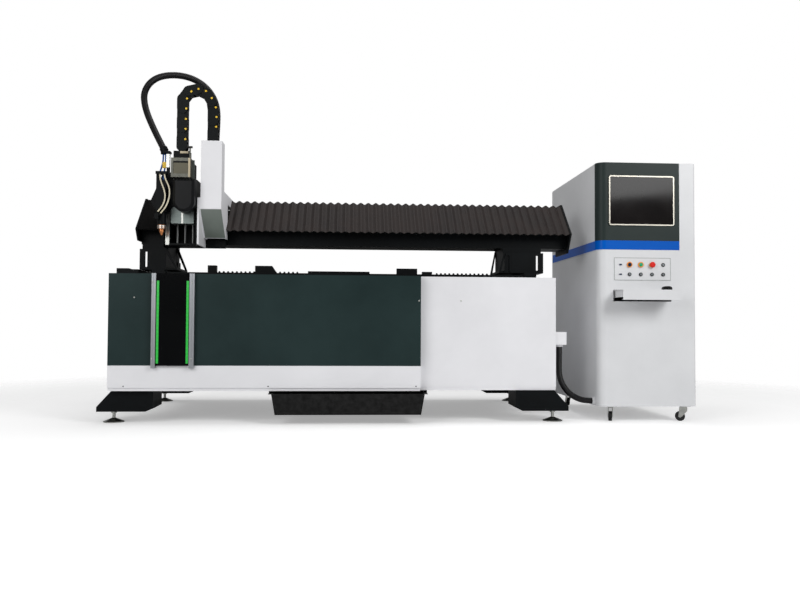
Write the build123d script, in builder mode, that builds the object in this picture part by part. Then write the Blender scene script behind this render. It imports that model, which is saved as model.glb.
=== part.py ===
from build123d import *
import math
import os

os.makedirs("parts", exist_ok=True)

# Overall sizes of the machine, in millimetres
bed_length = 2870
bed_depth = 1660
bed_height = 950
foot_overhang = 82
tray_pull = 178
cabinet_gap = 277
cabinet_width = 660
cabinet_depth = 1160
cabinet_height = 1720
cabinet_setback = 48

# Clearances and sheet thicknesses
clear = 0.3
sheet = 3
thick_sheet = 4

# Where the machine stands: origin under the middle of its overall box
tray_reach = tray_pull - cabinet_setback
overall_length = foot_overhang + bed_length + cabinet_gap + cabinet_width
overall_depth = tray_reach + bed_depth
bed_left = foot_overhang - overall_length / 2
bed_right = bed_left + bed_length
front = tray_reach - overall_depth / 2
back = front + bed_depth

# Bed panels
panel_bottom = 210
kick_height = 160
dark_length = 1970
white_setback = 70
ledge_height = 19
ledge_setback = 8
dark_right = bed_left + dark_length
kick_top = panel_bottom + kick_height

# Bed frame
tube = 80
low_tube_height = 100
rail_beam_width = 120
rail_beam_height = 140
rail_beam_top = 925
left_rail_x = bed_left + 277
right_rail_x = bed_right - 161
frame_front = front + white_setback + sheet + 5
frame_back = back - sheet - 5
rail_beam_bottom = rail_beam_top - rail_beam_height
low_tube_top = panel_bottom + low_tube_height
inner_left = left_rail_x + rail_beam_width / 2
inner_right = right_rail_x - rail_beam_width / 2
bed_middle = (inner_left + inner_right) / 2

# Slat table
slat_count = 14
slat_sheet = 6
slat_top = 962
slat_height = 90
tooth_pitch = 100
tooth_depth = 30
first_slat = front + 222
slat_pitch = 100
rack_sheet = 12
comb_pitch = 28
comb_height = 12
hopper_top = rail_beam_bottom - 5
hopper_bottom = 215
mouth_left = bed_left + 1045
mouth_right = bed_left + 1975

# Feet
foot_bottom = 75
foot_inner = 270
foot_top_out = 12
foot_depth = 240
bolt_inset = 95
pad_radius = 65

# Slag tray
tray_left = bed_left + 1022
tray_right = bed_left + 1994
tray_top = 195
tray_bottom = 62
tray_flare = 23
tray_front = front - 35
tray_depth = 1150
rim_width = 20

# Window unit in the front panel
window_left = bed_left + 273
window_right = bed_left + 538
trim_widths = (26, 31)
trim_depth = 30
trim_bottom = 354
led_width = 14
led_inset = 5

# Gantry
rail_width = 30
rail_height = 28
leg_front = front + 160
leg_depth = 330
leg_bottom = 985
leg_step = 65
leg_step_top = 1120
beam_bottom = 1160
beam_top = 1380
beam_front = front + 260
beam_back = front + 480
beam_wall = 10
end_plate_sheet = 12
gantry_left = bed_left + 120
gantry_right = bed_left + 3000
left_leg = (bed_left + 147, bed_left + 316)
right_leg = (bed_left + 2546, bed_left + 2808)
leg_plate = 12
leg_wing = 62
end_plate_lows = (1178, 1128)
beam_chamfer = (74, 70)
face_rail_z = 1270
top_rail_y = front + 380

# Bellows: outer ridge line in the side view, from the front edge round to the back
ridge_line = [
    (front + 149, 1250),
    (front + 390, 1478),
    (front + 518, 1478),
    (front + 518, 1200),
]
pleat_depth = 12
bellows_sheet = 0.8
left_pleats = 28
right_pleats = 44

# Carriage on the beam
carriage_left = bed_left + 300
carriage_right = bed_left + 701
flange_sheet = 8
face_plate_front = front + 195
face_plate = 20
carriage_bottom = 1132
saddle_top = 1442

# Head slide
slide_left = bed_left + 344
slide_right = bed_left + 538
slide_front = front + 10
slide_top = 1550
slide_end = 12
guide_rod_radius = 8
screw_radius = 8
slide_rods = (bed_left + 409, bed_left + 507)
screw_x = bed_left + 458
rod_y = front + 60
head_plate_left = bed_left + 380
head_plate_right = bed_left + 522
head_plate_front = front - 6
head_block_bottom = 1268
head_block_top = 1368
head_top = 1672
nozzle_x = bed_left + 336
nozzle_y = front - 55
nozzle_tip = 1186
nozzle_top = 1249
hose_radius = 21

# Control cabinet
cabinet_left = bed_right + cabinet_gap
cabinet_right = cabinet_left + cabinet_width
cabinet_front = front + cabinet_setback
cabinet_back = cabinet_front + cabinet_depth
cabinet_bottom = 104
corner_radius = 55
band_bottom = 1140
band_height = 60
fascia_left_wrap = 60
column_width = 108
skin = 1.7

# Controls on the cabinet
screen_middle = (cabinet_left + 293.5, cabinet_height - 254)
screen_size = (442, 331)
plate_left = cabinet_left + 107
plate_right = cabinet_left + 492
plate_bottom = 935
plate_top = 1088
button_columns = [cabinet_left + 211 + 76 * i for i in range(4)]
button_rows = (1040, 976)
port_x = cabinet_left + 150
bezel_radius = 18
knob_radius = 12
small_radius = 12
small_knob_radius = 8
small_bezel_height = 5
bezel_height = 8
shelf_left = plate_left
shelf_right = plate_right
shelf_top = 868
shelf_fold = 66

# Casters
wheel_radius = 32
wheel_width = 22
caster_trail = 22
left_caster_inset = 105
right_caster_inset = 55

# Conduit between bed and cabinet
conduit_radius = 20
conduit_entry = (front + 145, 134)


# A plane that faces the operator at depth y: sketch x runs right, sketch y runs up
def facing(y):
    return Plane(origin=(0, y, 0), x_dir=(1, 0, 0), z_dir=(0, -1, 0))


# A plane seen from the right end at x: sketch x runs back, sketch y runs up
def side_on(x):
    return Plane(origin=(x, 0, 0), x_dir=(0, 1, 0), z_dir=(1, 0, 0))


# A straight bar between two opposite corners, added to the part being built
def bar(low, high, mode=Mode.ADD):
    middle = [(a + b) / 2 for a, b in zip(low, high)]
    with Locations(tuple(middle)):
        Box(*[b - a for a, b in zip(low, high)], mode=mode)


# One bar as a piece of its own
def single_bar(low, high):
    with BuildPart() as piece:
        bar(low, high)
    return piece.part


# A side view (y, z) outline made into a plate between two x positions
def side_plate(points, x_low, x_high):
    with BuildPart() as piece:
        with BuildSketch(side_on(x_low)):
            Polygon(*points, align=None)
        extrude(amount=x_high - x_low)
    return piece.part


# A front view (x, z) outline made into a plate between two depths
def front_plate(points, y_low, y_high):
    with BuildPart() as piece:
        with BuildSketch(facing(y_low)):
            Polygon(*points, align=None)
        extrude(amount=-(y_high - y_low))
    return piece.part


# Several solids of one sub-part, kept as separate solids
def group(label, pieces):
    return Compound(label=label, children=list(pieces))


def save(shape, label):
    shape.label = label
    export_step(shape, f"parts/{label}.step")


# The same outline at the other end of the bed
def mirror_x(points):
    centre = bed_left + bed_right
    return [(centre - x, z) for x, z in points]


def foot_box(mirrored, y_low):
    outline = [
        (bed_left + foot_top_out, panel_bottom - clear),
        (bed_left - foot_overhang, foot_bottom + 30),
        (bed_left - foot_overhang, foot_bottom),
        (bed_left + foot_inner - 46, foot_bottom),
        (bed_left + foot_inner, foot_bottom + 24),
        (bed_left + foot_inner, panel_bottom - clear),
    ]
    if mirrored:
        outline = mirror_x(outline)
    return front_plate(outline, y_low, y_low + foot_depth)


# Welded bed frame: ring of low tubes, posts, rail beams, cross tubes and feet boxes
def bed_frame():
    left_end = bed_left + sheet + clear
    right_end = bed_right - sheet - clear
    post_top = rail_beam_bottom - clear
    rear_tube = frame_back - tube
    pieces = []
    for y_low in (frame_front, rear_tube):
        pieces.append(single_bar((left_end, y_low, panel_bottom), (right_end, y_low + tube, low_tube_top)))
        cross_low = (inner_left + clear, y_low, rail_beam_top - tube)
        cross_high = (inner_right - clear, y_low + tube, rail_beam_top)
        pieces.append(single_bar(cross_low, cross_high))
        middle_low = (bed_middle - tube / 2, y_low, low_tube_top + clear)
        middle_high = (bed_middle + tube / 2, y_low + tube, rail_beam_top - tube - clear)
        pieces.append(single_bar(middle_low, middle_high))
    for rail_x in (left_rail_x, right_rail_x):
        beam_low = (rail_x - rail_beam_width / 2, frame_front, rail_beam_bottom)
        beam_high = (rail_x + rail_beam_width / 2, frame_back, rail_beam_top)
        pieces.append(single_bar(beam_low, beam_high))
        low = (rail_x - tube / 2, frame_front + tube + clear, panel_bottom)
        high = (rail_x + tube / 2, rear_tube - clear, low_tube_top)
        pieces.append(single_bar(low, high))
        for y_low in (frame_front, rear_tube):
            low = (rail_x - tube / 2, y_low, low_tube_top + clear)
            pieces.append(single_bar(low, (rail_x + tube / 2, y_low + tube, post_top)))
    arm_top = rail_beam_top - 25
    for y_mid in (frame_front + 200, frame_back - 200):
        left_arm = (left_end, y_mid - 30, arm_top - 40)
        pieces.append(single_bar(left_arm, (left_rail_x - rail_beam_width / 2 - clear, y_mid + 30,
                                            arm_top)))
        right_arm = (right_rail_x + rail_beam_width / 2 + clear, y_mid - 30, arm_top - 40)
        pieces.append(single_bar(right_arm, (right_end, y_mid + 30, arm_top)))
    for mirrored in (False, True):
        for y_low in (frame_front - 18, frame_back - foot_depth):
            pieces.append(foot_box(mirrored, y_low))
    return pieces


# Sloped chute plates that lead slag down to the tray
def slag_chute():
    front_y = frame_front + tube + clear
    back_y = frame_back - tube - clear
    left_top = left_rail_x + rail_beam_width / 2 - 8
    right_top = right_rail_x - rail_beam_width / 2 + 8
    left = [
        (left_top, hopper_top),
        (left_top + thick_sheet + 4, hopper_top),
        (mouth_left + thick_sheet + 4, hopper_bottom),
        (mouth_left, hopper_bottom),
    ]
    right = [
        (right_top, hopper_top),
        (mouth_right, hopper_bottom),
        (mouth_right - thick_sheet - 4, hopper_bottom),
        (right_top - thick_sheet - 4, hopper_top),
    ]
    wall = [
        (left_top, hopper_top),
        (mouth_left, hopper_bottom),
        (mouth_right, hopper_bottom),
        (right_top, hopper_top),
    ]
    inner_front = front_y + thick_sheet
    inner_back = back_y - thick_sheet
    return [
        front_plate(left, inner_front + clear, inner_back - clear),
        front_plate(right, inner_front + clear, inner_back - clear),
        front_plate(wall, front_y, inner_front),
        front_plate(wall, inner_back, back_y),
    ]


# Notched plates that hold the slats, and the beam under the middle one
def slat_y(index):
    return first_slat + slat_pitch * index


def slat_rack(x_low, x_high, bottom):
    low_y = first_slat - 40
    high_y = slat_y(slat_count - 1) + 40
    seat = slat_top - slat_height - clear
    with BuildPart() as rack:
        bar((x_low, low_y, bottom), (x_high, high_y, rail_beam_top))
        for index in range(slat_count):
            y = slat_y(index)
            half = slat_sheet / 2 + clear
            bar((x_low - 1, y - half, seat), (x_high + 1, y + half, rail_beam_top + 1), Mode.SUBTRACT)
    return rack.part


def table_carriers():
    beam_low = (bed_middle - 25, frame_front + tube + clear, rail_beam_bottom)
    beam_high = (bed_middle + 25, frame_back - tube - clear, rail_beam_bottom + 60)
    middle_rack_bottom = beam_high[2] + clear
    return [
        slat_rack(inner_left + clear, inner_left + clear + rack_sheet, rail_beam_bottom + 20),
        slat_rack(inner_right - clear - rack_sheet, inner_right - clear, rail_beam_bottom + 20),
        single_bar(beam_low, beam_high),
        slat_rack(bed_middle - rack_sheet / 2, bed_middle + rack_sheet / 2, middle_rack_bottom),
    ]


save(group("bed_frame", bed_frame() + slag_chute() + table_carriers()), "bed_frame")


# Toothed slats that the work lies on
def slat(index):
    left = inner_left + clear + 2
    right = inner_right - clear - 2
    teeth = int((right - left) // tooth_pitch)
    start = (left + right - teeth * tooth_pitch) / 2
    bottom = slat_top - slat_height
    valley = slat_top - tooth_depth
    outline = [(left, bottom), (left, valley), (start, valley)]
    for tooth in range(teeth):
        x = start + tooth * tooth_pitch
        outline.append((x + tooth_pitch * 0.5, slat_top))
        outline.append((x + tooth_pitch, valley))
    outline += [(right, valley), (right, bottom)]
    y = slat_y(index) - slat_sheet / 2
    return front_plate(outline, y, y + slat_sheet)


save(group("slats", [slat(index) for index in range(slat_count)]), "slats")


# Folded panel: a face sheet with returns round its edge, open at the back
def pan(low, high):
    with BuildPart() as folded:
        bar(low, high)
        inner_low = (low[0] + sheet, low[1] + sheet, low[2] + sheet)
        inner_high = (high[0] - sheet, high[1] + 1, high[2] - sheet)
        bar(inner_low, inner_high, Mode.SUBTRACT)
    return folded.part


pan_back = frame_front - clear
save(pan((bed_left, front, kick_top), (dark_right, pan_back, bed_height)), "front_dark_panel")

# White kick panel with a recessed ledge along its foot
with BuildPart() as kick_panel:
    bar((bed_left, front, panel_bottom + ledge_height), (dark_right, pan_back, kick_top - clear))
    bar((bed_left + sheet, front + sheet, panel_bottom + ledge_height + sheet),
        (dark_right - sheet, pan_back + 1, kick_top - clear - sheet), Mode.SUBTRACT)
    bar((bed_left + sheet, front + ledge_setback, panel_bottom),
        (dark_right - sheet, front + ledge_setback + sheet, panel_bottom + ledge_height))
save(kick_panel.part, "front_kick_panel")

white_front = front + white_setback
with BuildPart() as white_panel:
    bar((dark_right + clear, white_front, panel_bottom + ledge_height), (bed_right, pan_back, bed_height))
    bar((dark_right + clear + sheet, white_front + sheet, panel_bottom + ledge_height + sheet),
        (bed_right - sheet, pan_back + 1, bed_height - sheet), Mode.SUBTRACT)
    bar((dark_right + clear + sheet, white_front + sheet - 1, panel_bottom),
        (bed_right - sheet, white_front + 2 * sheet - 1, panel_bottom + ledge_height))
save(white_panel.part, "front_white_panel")


# End and rear panels of the bed, each with a deck flange along its top
def end_panels():
    deck = 150
    front_y = pan_back + clear
    rear_y = back - sheet - clear
    deck_low = bed_height - sheet
    with BuildPart() as left_end:
        bar((bed_left, front_y, panel_bottom), (bed_left + sheet, rear_y, bed_height))
        bar((bed_left, front_y, deck_low), (bed_left + deck, rear_y, bed_height))
    with BuildPart() as right_end:
        bar((bed_right - sheet, front_y, panel_bottom), (bed_right, rear_y, bed_height))
        bar((bed_right - 80, front_y, deck_low), (bed_right, rear_y, bed_height))
    with BuildPart() as rear:
        bar((bed_left, back - sheet, panel_bottom), (bed_right, back, bed_height))
    return [left_end.part, right_end.part, rear.part]


save(group("end_and_rear_panels", end_panels()), "end_and_rear_panels")


# Window unit: two aluminium trims, the black pane between them, the light strips
trim_left_inner = window_left + trim_widths[0]
trim_right_inner = window_right - trim_widths[1]
trim_front = front - trim_depth
with BuildPart() as left_trim:
    bar((window_left, trim_front, trim_bottom), (trim_left_inner, front - clear, bed_height))
    bar((window_left + 9, trim_front - 1, trim_bottom - 1),
        (window_left + 15, trim_front + 2, bed_height + 1),
        Mode.SUBTRACT)
with BuildPart() as right_trim:
    bar((trim_right_inner, trim_front, trim_bottom), (window_right, front - clear, bed_height))
    bar((window_right - 15, trim_front - 1, trim_bottom - 1),
        (window_right - 9, trim_front + 2, bed_height + 1),
        Mode.SUBTRACT)
save(group("window_trims", [left_trim.part, right_trim.part]), "window_trims")

pane_front = trim_front + 8
save(single_bar((trim_left_inner + clear, pane_front, kick_top),
                (trim_right_inner - clear, front - clear, bed_height)),
     "window_pane")

led_bottom = 385
led_top = 903
led_front = pane_front - clear - 4
left_led = trim_left_inner + led_inset
right_led = trim_right_inner - led_inset
left_led_low = (left_led, led_front, led_bottom)
left_led_high = (left_led + led_width, pane_front - clear, led_top)
right_led_low = (right_led - led_width, led_front, led_bottom)
right_led_high = (right_led, pane_front - clear, led_top)
save(group("light_strips", [single_bar(left_led_low, left_led_high),
                            single_bar(right_led_low, right_led_high)]),
     "light_strips")


# Levelling feet: domed pad, stem and lock nut under each foot box
def levelling_foot(x, y):
    with BuildPart() as foot:
        with BuildSketch(facing(y)):
            with BuildLine():
                Polyline((x, 0), (x + pad_radius, 0), (x + pad_radius, 6), (x + 10, 28),
                         (x + 10, foot_bottom - clear), (x, foot_bottom - clear), (x, 0))
            make_face()
        revolve(axis=Axis((x, y, 0), (0, 0, 1)))
        with BuildSketch(Plane.XY.offset(foot_bottom - clear - 16)):
            with Locations((x, y)):
                RegularPolygon(18, 6)
        extrude(amount=16)
    return foot.part


bolt_ys = (frame_front - 18 + bolt_inset, frame_back - bolt_inset)
save(group("levelling_feet", [levelling_foot(x, y) for x in (bed_left + 2,
                                                             bed_right - 2) for y in bolt_ys]),
     "levelling_feet")


# Ground rails for the gantry
rail_low = frame_front + 62
rail_high = frame_back - 62


def ground_rail(rail_x):
    half = rail_width / 2
    top = rail_beam_top + clear + rail_height
    base = rail_beam_top + clear
    outline = [
        (rail_x - half, base), (rail_x + half, base), (rail_x + half, base + 9),
        (rail_x + half - 4, base + 13),
        (rail_x + half, base + 18), (rail_x + half, top), (rail_x - half, top), (rail_x - half, base + 18),
        (rail_x - half + 4, base + 13), (rail_x - half, base + 9),
    ]
    return front_plate(outline, rail_low, rail_high)


save(group("gantry_rails", [ground_rail(left_rail_x), ground_rail(right_rail_x)]), "gantry_rails")


# Rubber stops past both ends of a ground rail
def rail_stops(rail_x):
    base = rail_beam_top + clear
    return [
        single_bar((rail_x - 40, y, base), (rail_x + 40, y + 30, leg_bottom - 2))
        for y in (rail_low - clear - 30, rail_high + clear)
    ]


# Cable trough, toothed front bar, rail stops and work supports on the table's front edge
def table_fittings():
    trough_left = bed_left + 13
    trough_y = frame_front + 42
    trough = [
        (trough_left, bed_height + clear), (trough_left + 137, bed_height + clear),
        (trough_left + 137, bed_height + 34), (trough_left + 77, bed_height + 34),
        (trough_left + 77, bed_height + 40), (trough_left, bed_height + 40),
    ]
    bar_y = frame_front + 6
    bar_top = 966
    left = inner_left + 4
    right = inner_right - 4
    bar_low = rail_beam_top + clear
    with BuildPart() as front_bar:
        bar((left, bar_y, bar_low), (right, bar_y + 60, bar_top))
        bar((left - 1, bar_y + 6, bar_low - 1), (right + 1, bar_y + 61, bar_top - 6), Mode.SUBTRACT)
        for comb_left, comb_right in ((bed_left + 630, bed_left + 1206),
                                      (bed_left + 2080, bed_left + 2480)):
            comb = [(comb_left, bar_top - 1)]
            for tooth in range(int((comb_right - comb_left) // comb_pitch)):
                x = comb_left + tooth * comb_pitch
                comb += [(x + 2, bar_top + comb_height), (x + 10, bar_top + comb_height),
                         (x + 14, bar_top + 3), (x + comb_pitch - 1, bar_top + 3)]
            comb.append((comb[-1][0], bar_top - 1))
            with BuildSketch(facing(bar_y + 51)):
                Polygon(*comb, align=None)
            extrude(amount=-8)
    pieces = [front_plate(trough, trough_y, frame_back - 40), front_bar.part]
    pieces += rail_stops(left_rail_x) + rail_stops(right_rail_x)
    seat = bar_top + clear
    pieces.append(support_block(bed_left + 598, 54, 45, seat, 0))
    pieces.append(support_block(bed_left + 900, 138, 45, seat, 30))
    pieces.append(support_block(bed_left + 1818, 134, 36, seat, 0))
    pieces.append(support_block(bed_left + 1986, 64, 16, seat, 0))
    pieces.append(single_bar((bed_left + 1240, bar_y, seat), (bed_left + 1640, bar_y + 50, seat + 13)))
    for x in (bed_left + 1480, bed_left + 1900):
        pieces.append(edge_clamp(x))
    return pieces


def support_block(x, width, height, seat, slope):
    y_low = frame_front + 6
    outline = [(x, seat), (x + width, seat), (x + width - slope, seat + height), (x, seat + height)]
    return front_plate(outline, y_low, y_low + 50)


# Rounded clamp that holds the deck flange
def edge_clamp(x):
    with BuildPart() as clamp:
        with BuildSketch(facing(front + 20)):
            with Locations((x, bed_height + clear + 9)):
                RectangleRounded(92, 18, 7)
        extrude(amount=-34)
    return clamp.part


save(group("table_fittings", table_fittings()), "table_fittings")

# Slag tray: flared open box with a rim that hangs in the runners
tray_back = tray_front + tray_depth
with BuildPart() as slag_tray:
    with BuildSketch(facing(tray_front)):
        Polygon((tray_left + tray_flare, tray_bottom), (tray_right - tray_flare, tray_bottom),
                (tray_right, tray_top), (tray_left, tray_top), align=None)
    extrude(amount=-tray_depth)
    with BuildSketch(facing(tray_front + sheet)):
        Polygon((tray_left + tray_flare + sheet, tray_bottom + sheet),
                (tray_right - tray_flare - sheet, tray_bottom + sheet),
                (tray_right - sheet, tray_top + 1), (tray_left + sheet, tray_top + 1), align=None)
    extrude(amount=-(tray_depth - 2 * sheet), mode=Mode.SUBTRACT)
    for x_low in (tray_left - rim_width, tray_right - sheet):
        bar((x_low, tray_front, tray_top - sheet), (x_low + rim_width + sheet, tray_back, tray_top))
save(slag_tray.part, "slag_tray")


# Angle runners that carry the tray's rim, hung from the bed frame
def tray_runner(side):
    rim_outer = tray_left - rim_width if side < 0 else tray_right + rim_width
    web = rim_outer + side * clear
    ledge = tray_top - sheet - clear
    outline = [
        (web, panel_bottom - clear), (web + side * 5, panel_bottom - clear), (web + side * 5, ledge - 5),
        (web - side * 16, ledge - 5), (web - side * 16, ledge), (web, ledge),
    ]
    return front_plate(outline, frame_front, frame_back)


save(group("tray_runners", [tray_runner(-1), tray_runner(1)]), "tray_runners")


# Gantry beam: box section between the end plates
beam_left = gantry_left + end_plate_sheet + clear
beam_right = gantry_right - end_plate_sheet - clear
chamfer_y, chamfer_z = beam_chamfer
with BuildPart() as gantry_beam:
    with BuildSketch(side_on(beam_left)):
        Polygon((beam_front, beam_bottom), (beam_back, beam_bottom), (beam_back, beam_top),
                (beam_front + chamfer_y, beam_top), (beam_front, beam_top - chamfer_z), align=None)
        offset(amount=-beam_wall, kind=Kind.INTERSECTION, mode=Mode.SUBTRACT)
    extrude(amount=beam_right - beam_left)
save(gantry_beam.part, "gantry_beam")


# Gantry legs: box leg with a slotted wing plate, gusset ribs, guide blocks, upright drive motors
def span(a, b):
    return min(a, b), max(a, b)


def leg(outer, inner, toward, low_reach, high_reach):
    low_x = inner + toward * low_reach
    high_x = inner + toward * high_reach
    inside = inner + toward * 2
    top = beam_bottom - clear
    foot = leg_bottom + 15
    rib = 12
    step_y = leg_front + leg_step
    leg_back = leg_front + leg_depth
    box_low, box_high = span(outer + toward * leg_wing, inner)
    wing_low, wing_high = span(outer, outer + toward * (leg_wing + 1))
    base_low, base_high = span(outer, low_x)
    with BuildPart() as body:
        bar((box_low, leg_front, leg_bottom), (box_high, leg_back, leg_step_top))
        bar((box_low, step_y, leg_bottom), (box_high, leg_back, top))
        bar((wing_low, leg_front, leg_bottom), (wing_high, leg_front + leg_plate, leg_step_top))
        bar((wing_low, leg_front, leg_step_top - leg_plate), (wing_high, step_y + leg_plate, leg_step_top))
        bar((wing_low, step_y, leg_step_top - leg_plate), (wing_high, step_y + leg_plate, top))
        bar((wing_low, leg_back - leg_plate, leg_bottom), (wing_high, leg_back, top))
        with BuildSketch(facing(leg_front)):
            with Locations((outer + toward * 42, (foot + leg_step_top - leg_plate) / 2)):
                SlotOverall(leg_step_top - leg_plate - foot - 4, 14, rotation=90)
        extrude(amount=-leg_plate, mode=Mode.SUBTRACT)
        for y_low, rib_top in ((leg_front, leg_step_top), (leg_back - rib, top)):
            with BuildSketch(facing(y_low)):
                Polygon((inner, leg_bottom), (low_x, leg_bottom), (low_x, foot), (high_x, rib_top),
                        (inner, rib_top),
                        align=None)
                Polygon((inside, foot), (low_x - toward * 14, foot), (inside, rib_top - 30), align=None,
                        mode=Mode.SUBTRACT)
            extrude(amount=-rib)
        bar((base_low, leg_front, leg_bottom), (base_high, leg_back, foot))
    return body.part


def guide_block(rail_x, y_low):
    base = rail_beam_top + clear
    half = rail_width / 2 + clear
    with BuildPart() as block:
        bar((rail_x - 45, y_low, base + 8), (rail_x + 45, y_low + 100, leg_bottom - clear))
        bar((rail_x - half, y_low - 1, base), (rail_x + half, y_low + 101, base + rail_height + clear),
            Mode.SUBTRACT)
    return block.part


def drive_motor(x):
    y_mid = leg_front + leg_depth + clear + 45
    with BuildPart() as motor:
        bar((x - 45, y_mid - 45, leg_bottom + 15), (x + 45, y_mid + 45, leg_bottom + 75))
        with BuildSketch(Plane.XY.offset(leg_bottom + 75)):
            with Locations((x, y_mid)):
                RectangleRounded(80, 80, 10)
        extrude(amount=120)
    return motor.part


def gantry_legs():
    pieces = [leg(left_leg[0], left_leg[1], 1, 72, 8), leg(right_leg[1], right_leg[0], -1, 38, 6)]
    for rail_x in (left_rail_x, right_rail_x):
        for y_low in (leg_front + 12, leg_front + leg_depth - 112):
            pieces.append(guide_block(rail_x, y_low))
        pieces.append(drive_motor(rail_x))
    x = right_leg[0] + 18
    bracket = front_plate([
        (x - 23, 992), (x - 20, 1080), (x - 10, 1116), (x + 20, 1116), (x + 23, 1100), (x + 23, 992),
        (x + 13, 992),
        (x + 13, 1104), (x - 5, 1104), (x - 11, 1078), (x - 13, 992),
    ], leg_front - 8, leg_front - clear)
    return pieces + [bracket]


save(group("gantry_legs", gantry_legs()), "gantry_legs")


# End plates of the gantry, a little proud of the bellows
def end_plate(x_low, low):
    rim = 5
    outline = [
        (ridge_line[0][0] - rim, ridge_line[0][1]),
        (ridge_line[1][0] - rim * 0.4, ridge_line[1][1] + rim),
        (ridge_line[2][0] + rim, ridge_line[2][1] + rim),
        (ridge_line[3][0] + rim, low),
        (ridge_line[0][0] - rim + 0.72 * (ridge_line[0][1] - low), low),
    ]
    return side_plate(outline, x_low, x_low + end_plate_sheet)


save(group("gantry_end_plates", [end_plate(gantry_left, end_plate_lows[0]),
                                 end_plate(gantry_right - end_plate_sheet, end_plate_lows[1])]),
                                 "gantry_end_plates")


# Beam rails: one on the front face, one on the top face
def beam_rails():
    left = beam_left + 10
    right = beam_right - 10
    half = rail_width / 2
    face = beam_front - clear
    face_outline = [
        (face, face_rail_z - half), (face, face_rail_z + half), (face - rail_height, face_rail_z + half),
        (face - rail_height, face_rail_z - half),
    ]
    top = beam_top + clear
    top_outline = [
        (top_rail_y - half, top), (top_rail_y + half, top), (top_rail_y + half, top + rail_height),
        (top_rail_y - half, top + rail_height),
    ]
    return [side_plate(face_outline, left, right), side_plate(top_outline, left, right)]


save(group("beam_rails", beam_rails()), "beam_rails")


# Bellows: a pleated strip along each side of the ridge line, mitred at the corners
def inward(p, q):
    run = math.dist(p, q)
    return ((q[1] - p[1]) / run, -(q[0] - p[0]) / run)


def mitre(index):
    normals = []
    if index > 0:
        normals.append(inward(ridge_line[index - 1], ridge_line[index]))
    if index < len(ridge_line) - 1:
        normals.append(inward(ridge_line[index], ridge_line[index + 1]))
    total = (sum(n[0] for n in normals), sum(n[1] for n in normals))
    scale = len(normals) / (total[0] ** 2 + total[1] ** 2)
    return (total[0] * scale, total[1] * scale)


def pleated_side(index, x_start, length, pleats):
    p, q = ridge_line[index], ridge_line[index + 1]
    run = math.dist(p, q)
    along = ((q[0] - p[0]) / run, (q[1] - p[1]) / run)
    half = length / pleats / 2
    lift = bellows_sheet * math.hypot(half, pleat_depth) / half
    spare = 60
    ridge = [(k * half, pleat_depth * (k % 2)) for k in range(2 * round(pleats) + 1)]
    under = [(x, depth + lift) for x, depth in reversed(ridge)]
    origin = (x_start, p[0] - along[0] * spare, p[1] - along[1] * spare)
    with BuildPart() as strip:
        with BuildSketch(Plane(origin=origin, x_dir=(1, 0, 0), z_dir=(0, along[0], along[1]))):
            Polygon(*ridge, *under, align=None)
        extrude(amount=run + 2 * spare)
        reach = pleat_depth + lift + 4
        near, far = mitre(index), mitre(index + 1)
        corners = [
            (p[0] - near[0], p[1] - near[1]), (q[0] - far[0], q[1] - far[1]),
            (q[0] + far[0] * reach, q[1] + far[1] * reach),
            (p[0] + near[0] * reach, p[1] + near[1] * reach),
        ]
        with BuildSketch(side_on(x_start - 1)):
            Polygon(*corners, align=None)
        extrude(amount=length + 2, mode=Mode.INTERSECT)
    return strip.part


def bellows(x_start, x_end, pleats):
    sides = [pleated_side(index, x_start, x_end - x_start, pleats) for index in range(len(ridge_line) - 1)]
    with BuildPart() as folded:
        add(sides)
    return folded.part


save(bellows(gantry_left + end_plate_sheet + clear, carriage_left - clear, left_pleats), "left_bellows")
save(bellows(carriage_right + clear, gantry_right - end_plate_sheet - clear, right_pleats), "right_bellows")


# Carriage: face plate and saddle plate in one, left flange, rail blocks
arch_inner = [
    (front + 505, 1190), (front + 505, saddle_top - 17), (face_plate_front + face_plate, saddle_top - 17),
    (face_plate_front + face_plate, carriage_bottom),
]


def carriage_block(x_low, on_top):
    with BuildPart() as block:
        if on_top:
            bar((x_low, top_rail_y - 35, beam_top + 8), (x_low + 110, top_rail_y + 35,
                                                         saddle_top - 17 - clear))
            bar((x_low - 1, top_rail_y - rail_width / 2 - clear, beam_top),
                (x_low + 111, top_rail_y + rail_width / 2 + clear, beam_top + rail_height + 2 * clear),
                Mode.SUBTRACT)
        else:
            plate_back = face_plate_front + face_plate + clear
            bar((x_low, plate_back, face_rail_z - 35), (x_low + 110, beam_front - 8, face_rail_z + 35))
            bar((x_low - 1, beam_front - rail_height - 2 * clear, face_rail_z - rail_width / 2 - clear),
                (x_low + 111, beam_front, face_rail_z + rail_width / 2 + clear), Mode.SUBTRACT)
    return block.part


def carriage():
    plate_right = carriage_right - flange_sheet - clear
    under = saddle_top - 17
    saddle = [
        (face_plate_front, carriage_bottom), (face_plate_front + face_plate, carriage_bottom),
        (face_plate_front + face_plate, under), (front + 470, under), (front + 470, saddle_top),
        (face_plate_front, saddle_top),
    ]
    flange = [
        (front + 120, carriage_bottom), (front + 120, 1290), (front + 196, 1460), (front + 340, 1500),
        (front + 525, 1500), (front + 525, 1190),
    ] + arch_inner
    flange_right = carriage_left + flange_sheet
    pieces = [side_plate(flange, carriage_left, flange_right)]
    pieces.append(side_plate(saddle, flange_right + clear, plate_right))
    for x_low in (carriage_left + 20, plate_right - 130):
        pieces.append(carriage_block(x_low, True))
        pieces.append(carriage_block(x_low, False))
    return pieces


save(group("carriage_plate", carriage()), "carriage_plate")

# White cover: tall box over the cable end, sloped lower face, left wall and right flange
gland_height = 14
box_left = bed_left + 571
cover_left = bed_left + 552
cover_wall_right = cover_left + 11
cover_front = front - 50
box_back = front + 60
box_top = 1789
bulge_bottom = 1358
skirt_y = front + 130
skirt_z = 1190
saddle_cover_top = 1485
cover_back = face_plate_front - clear


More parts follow.
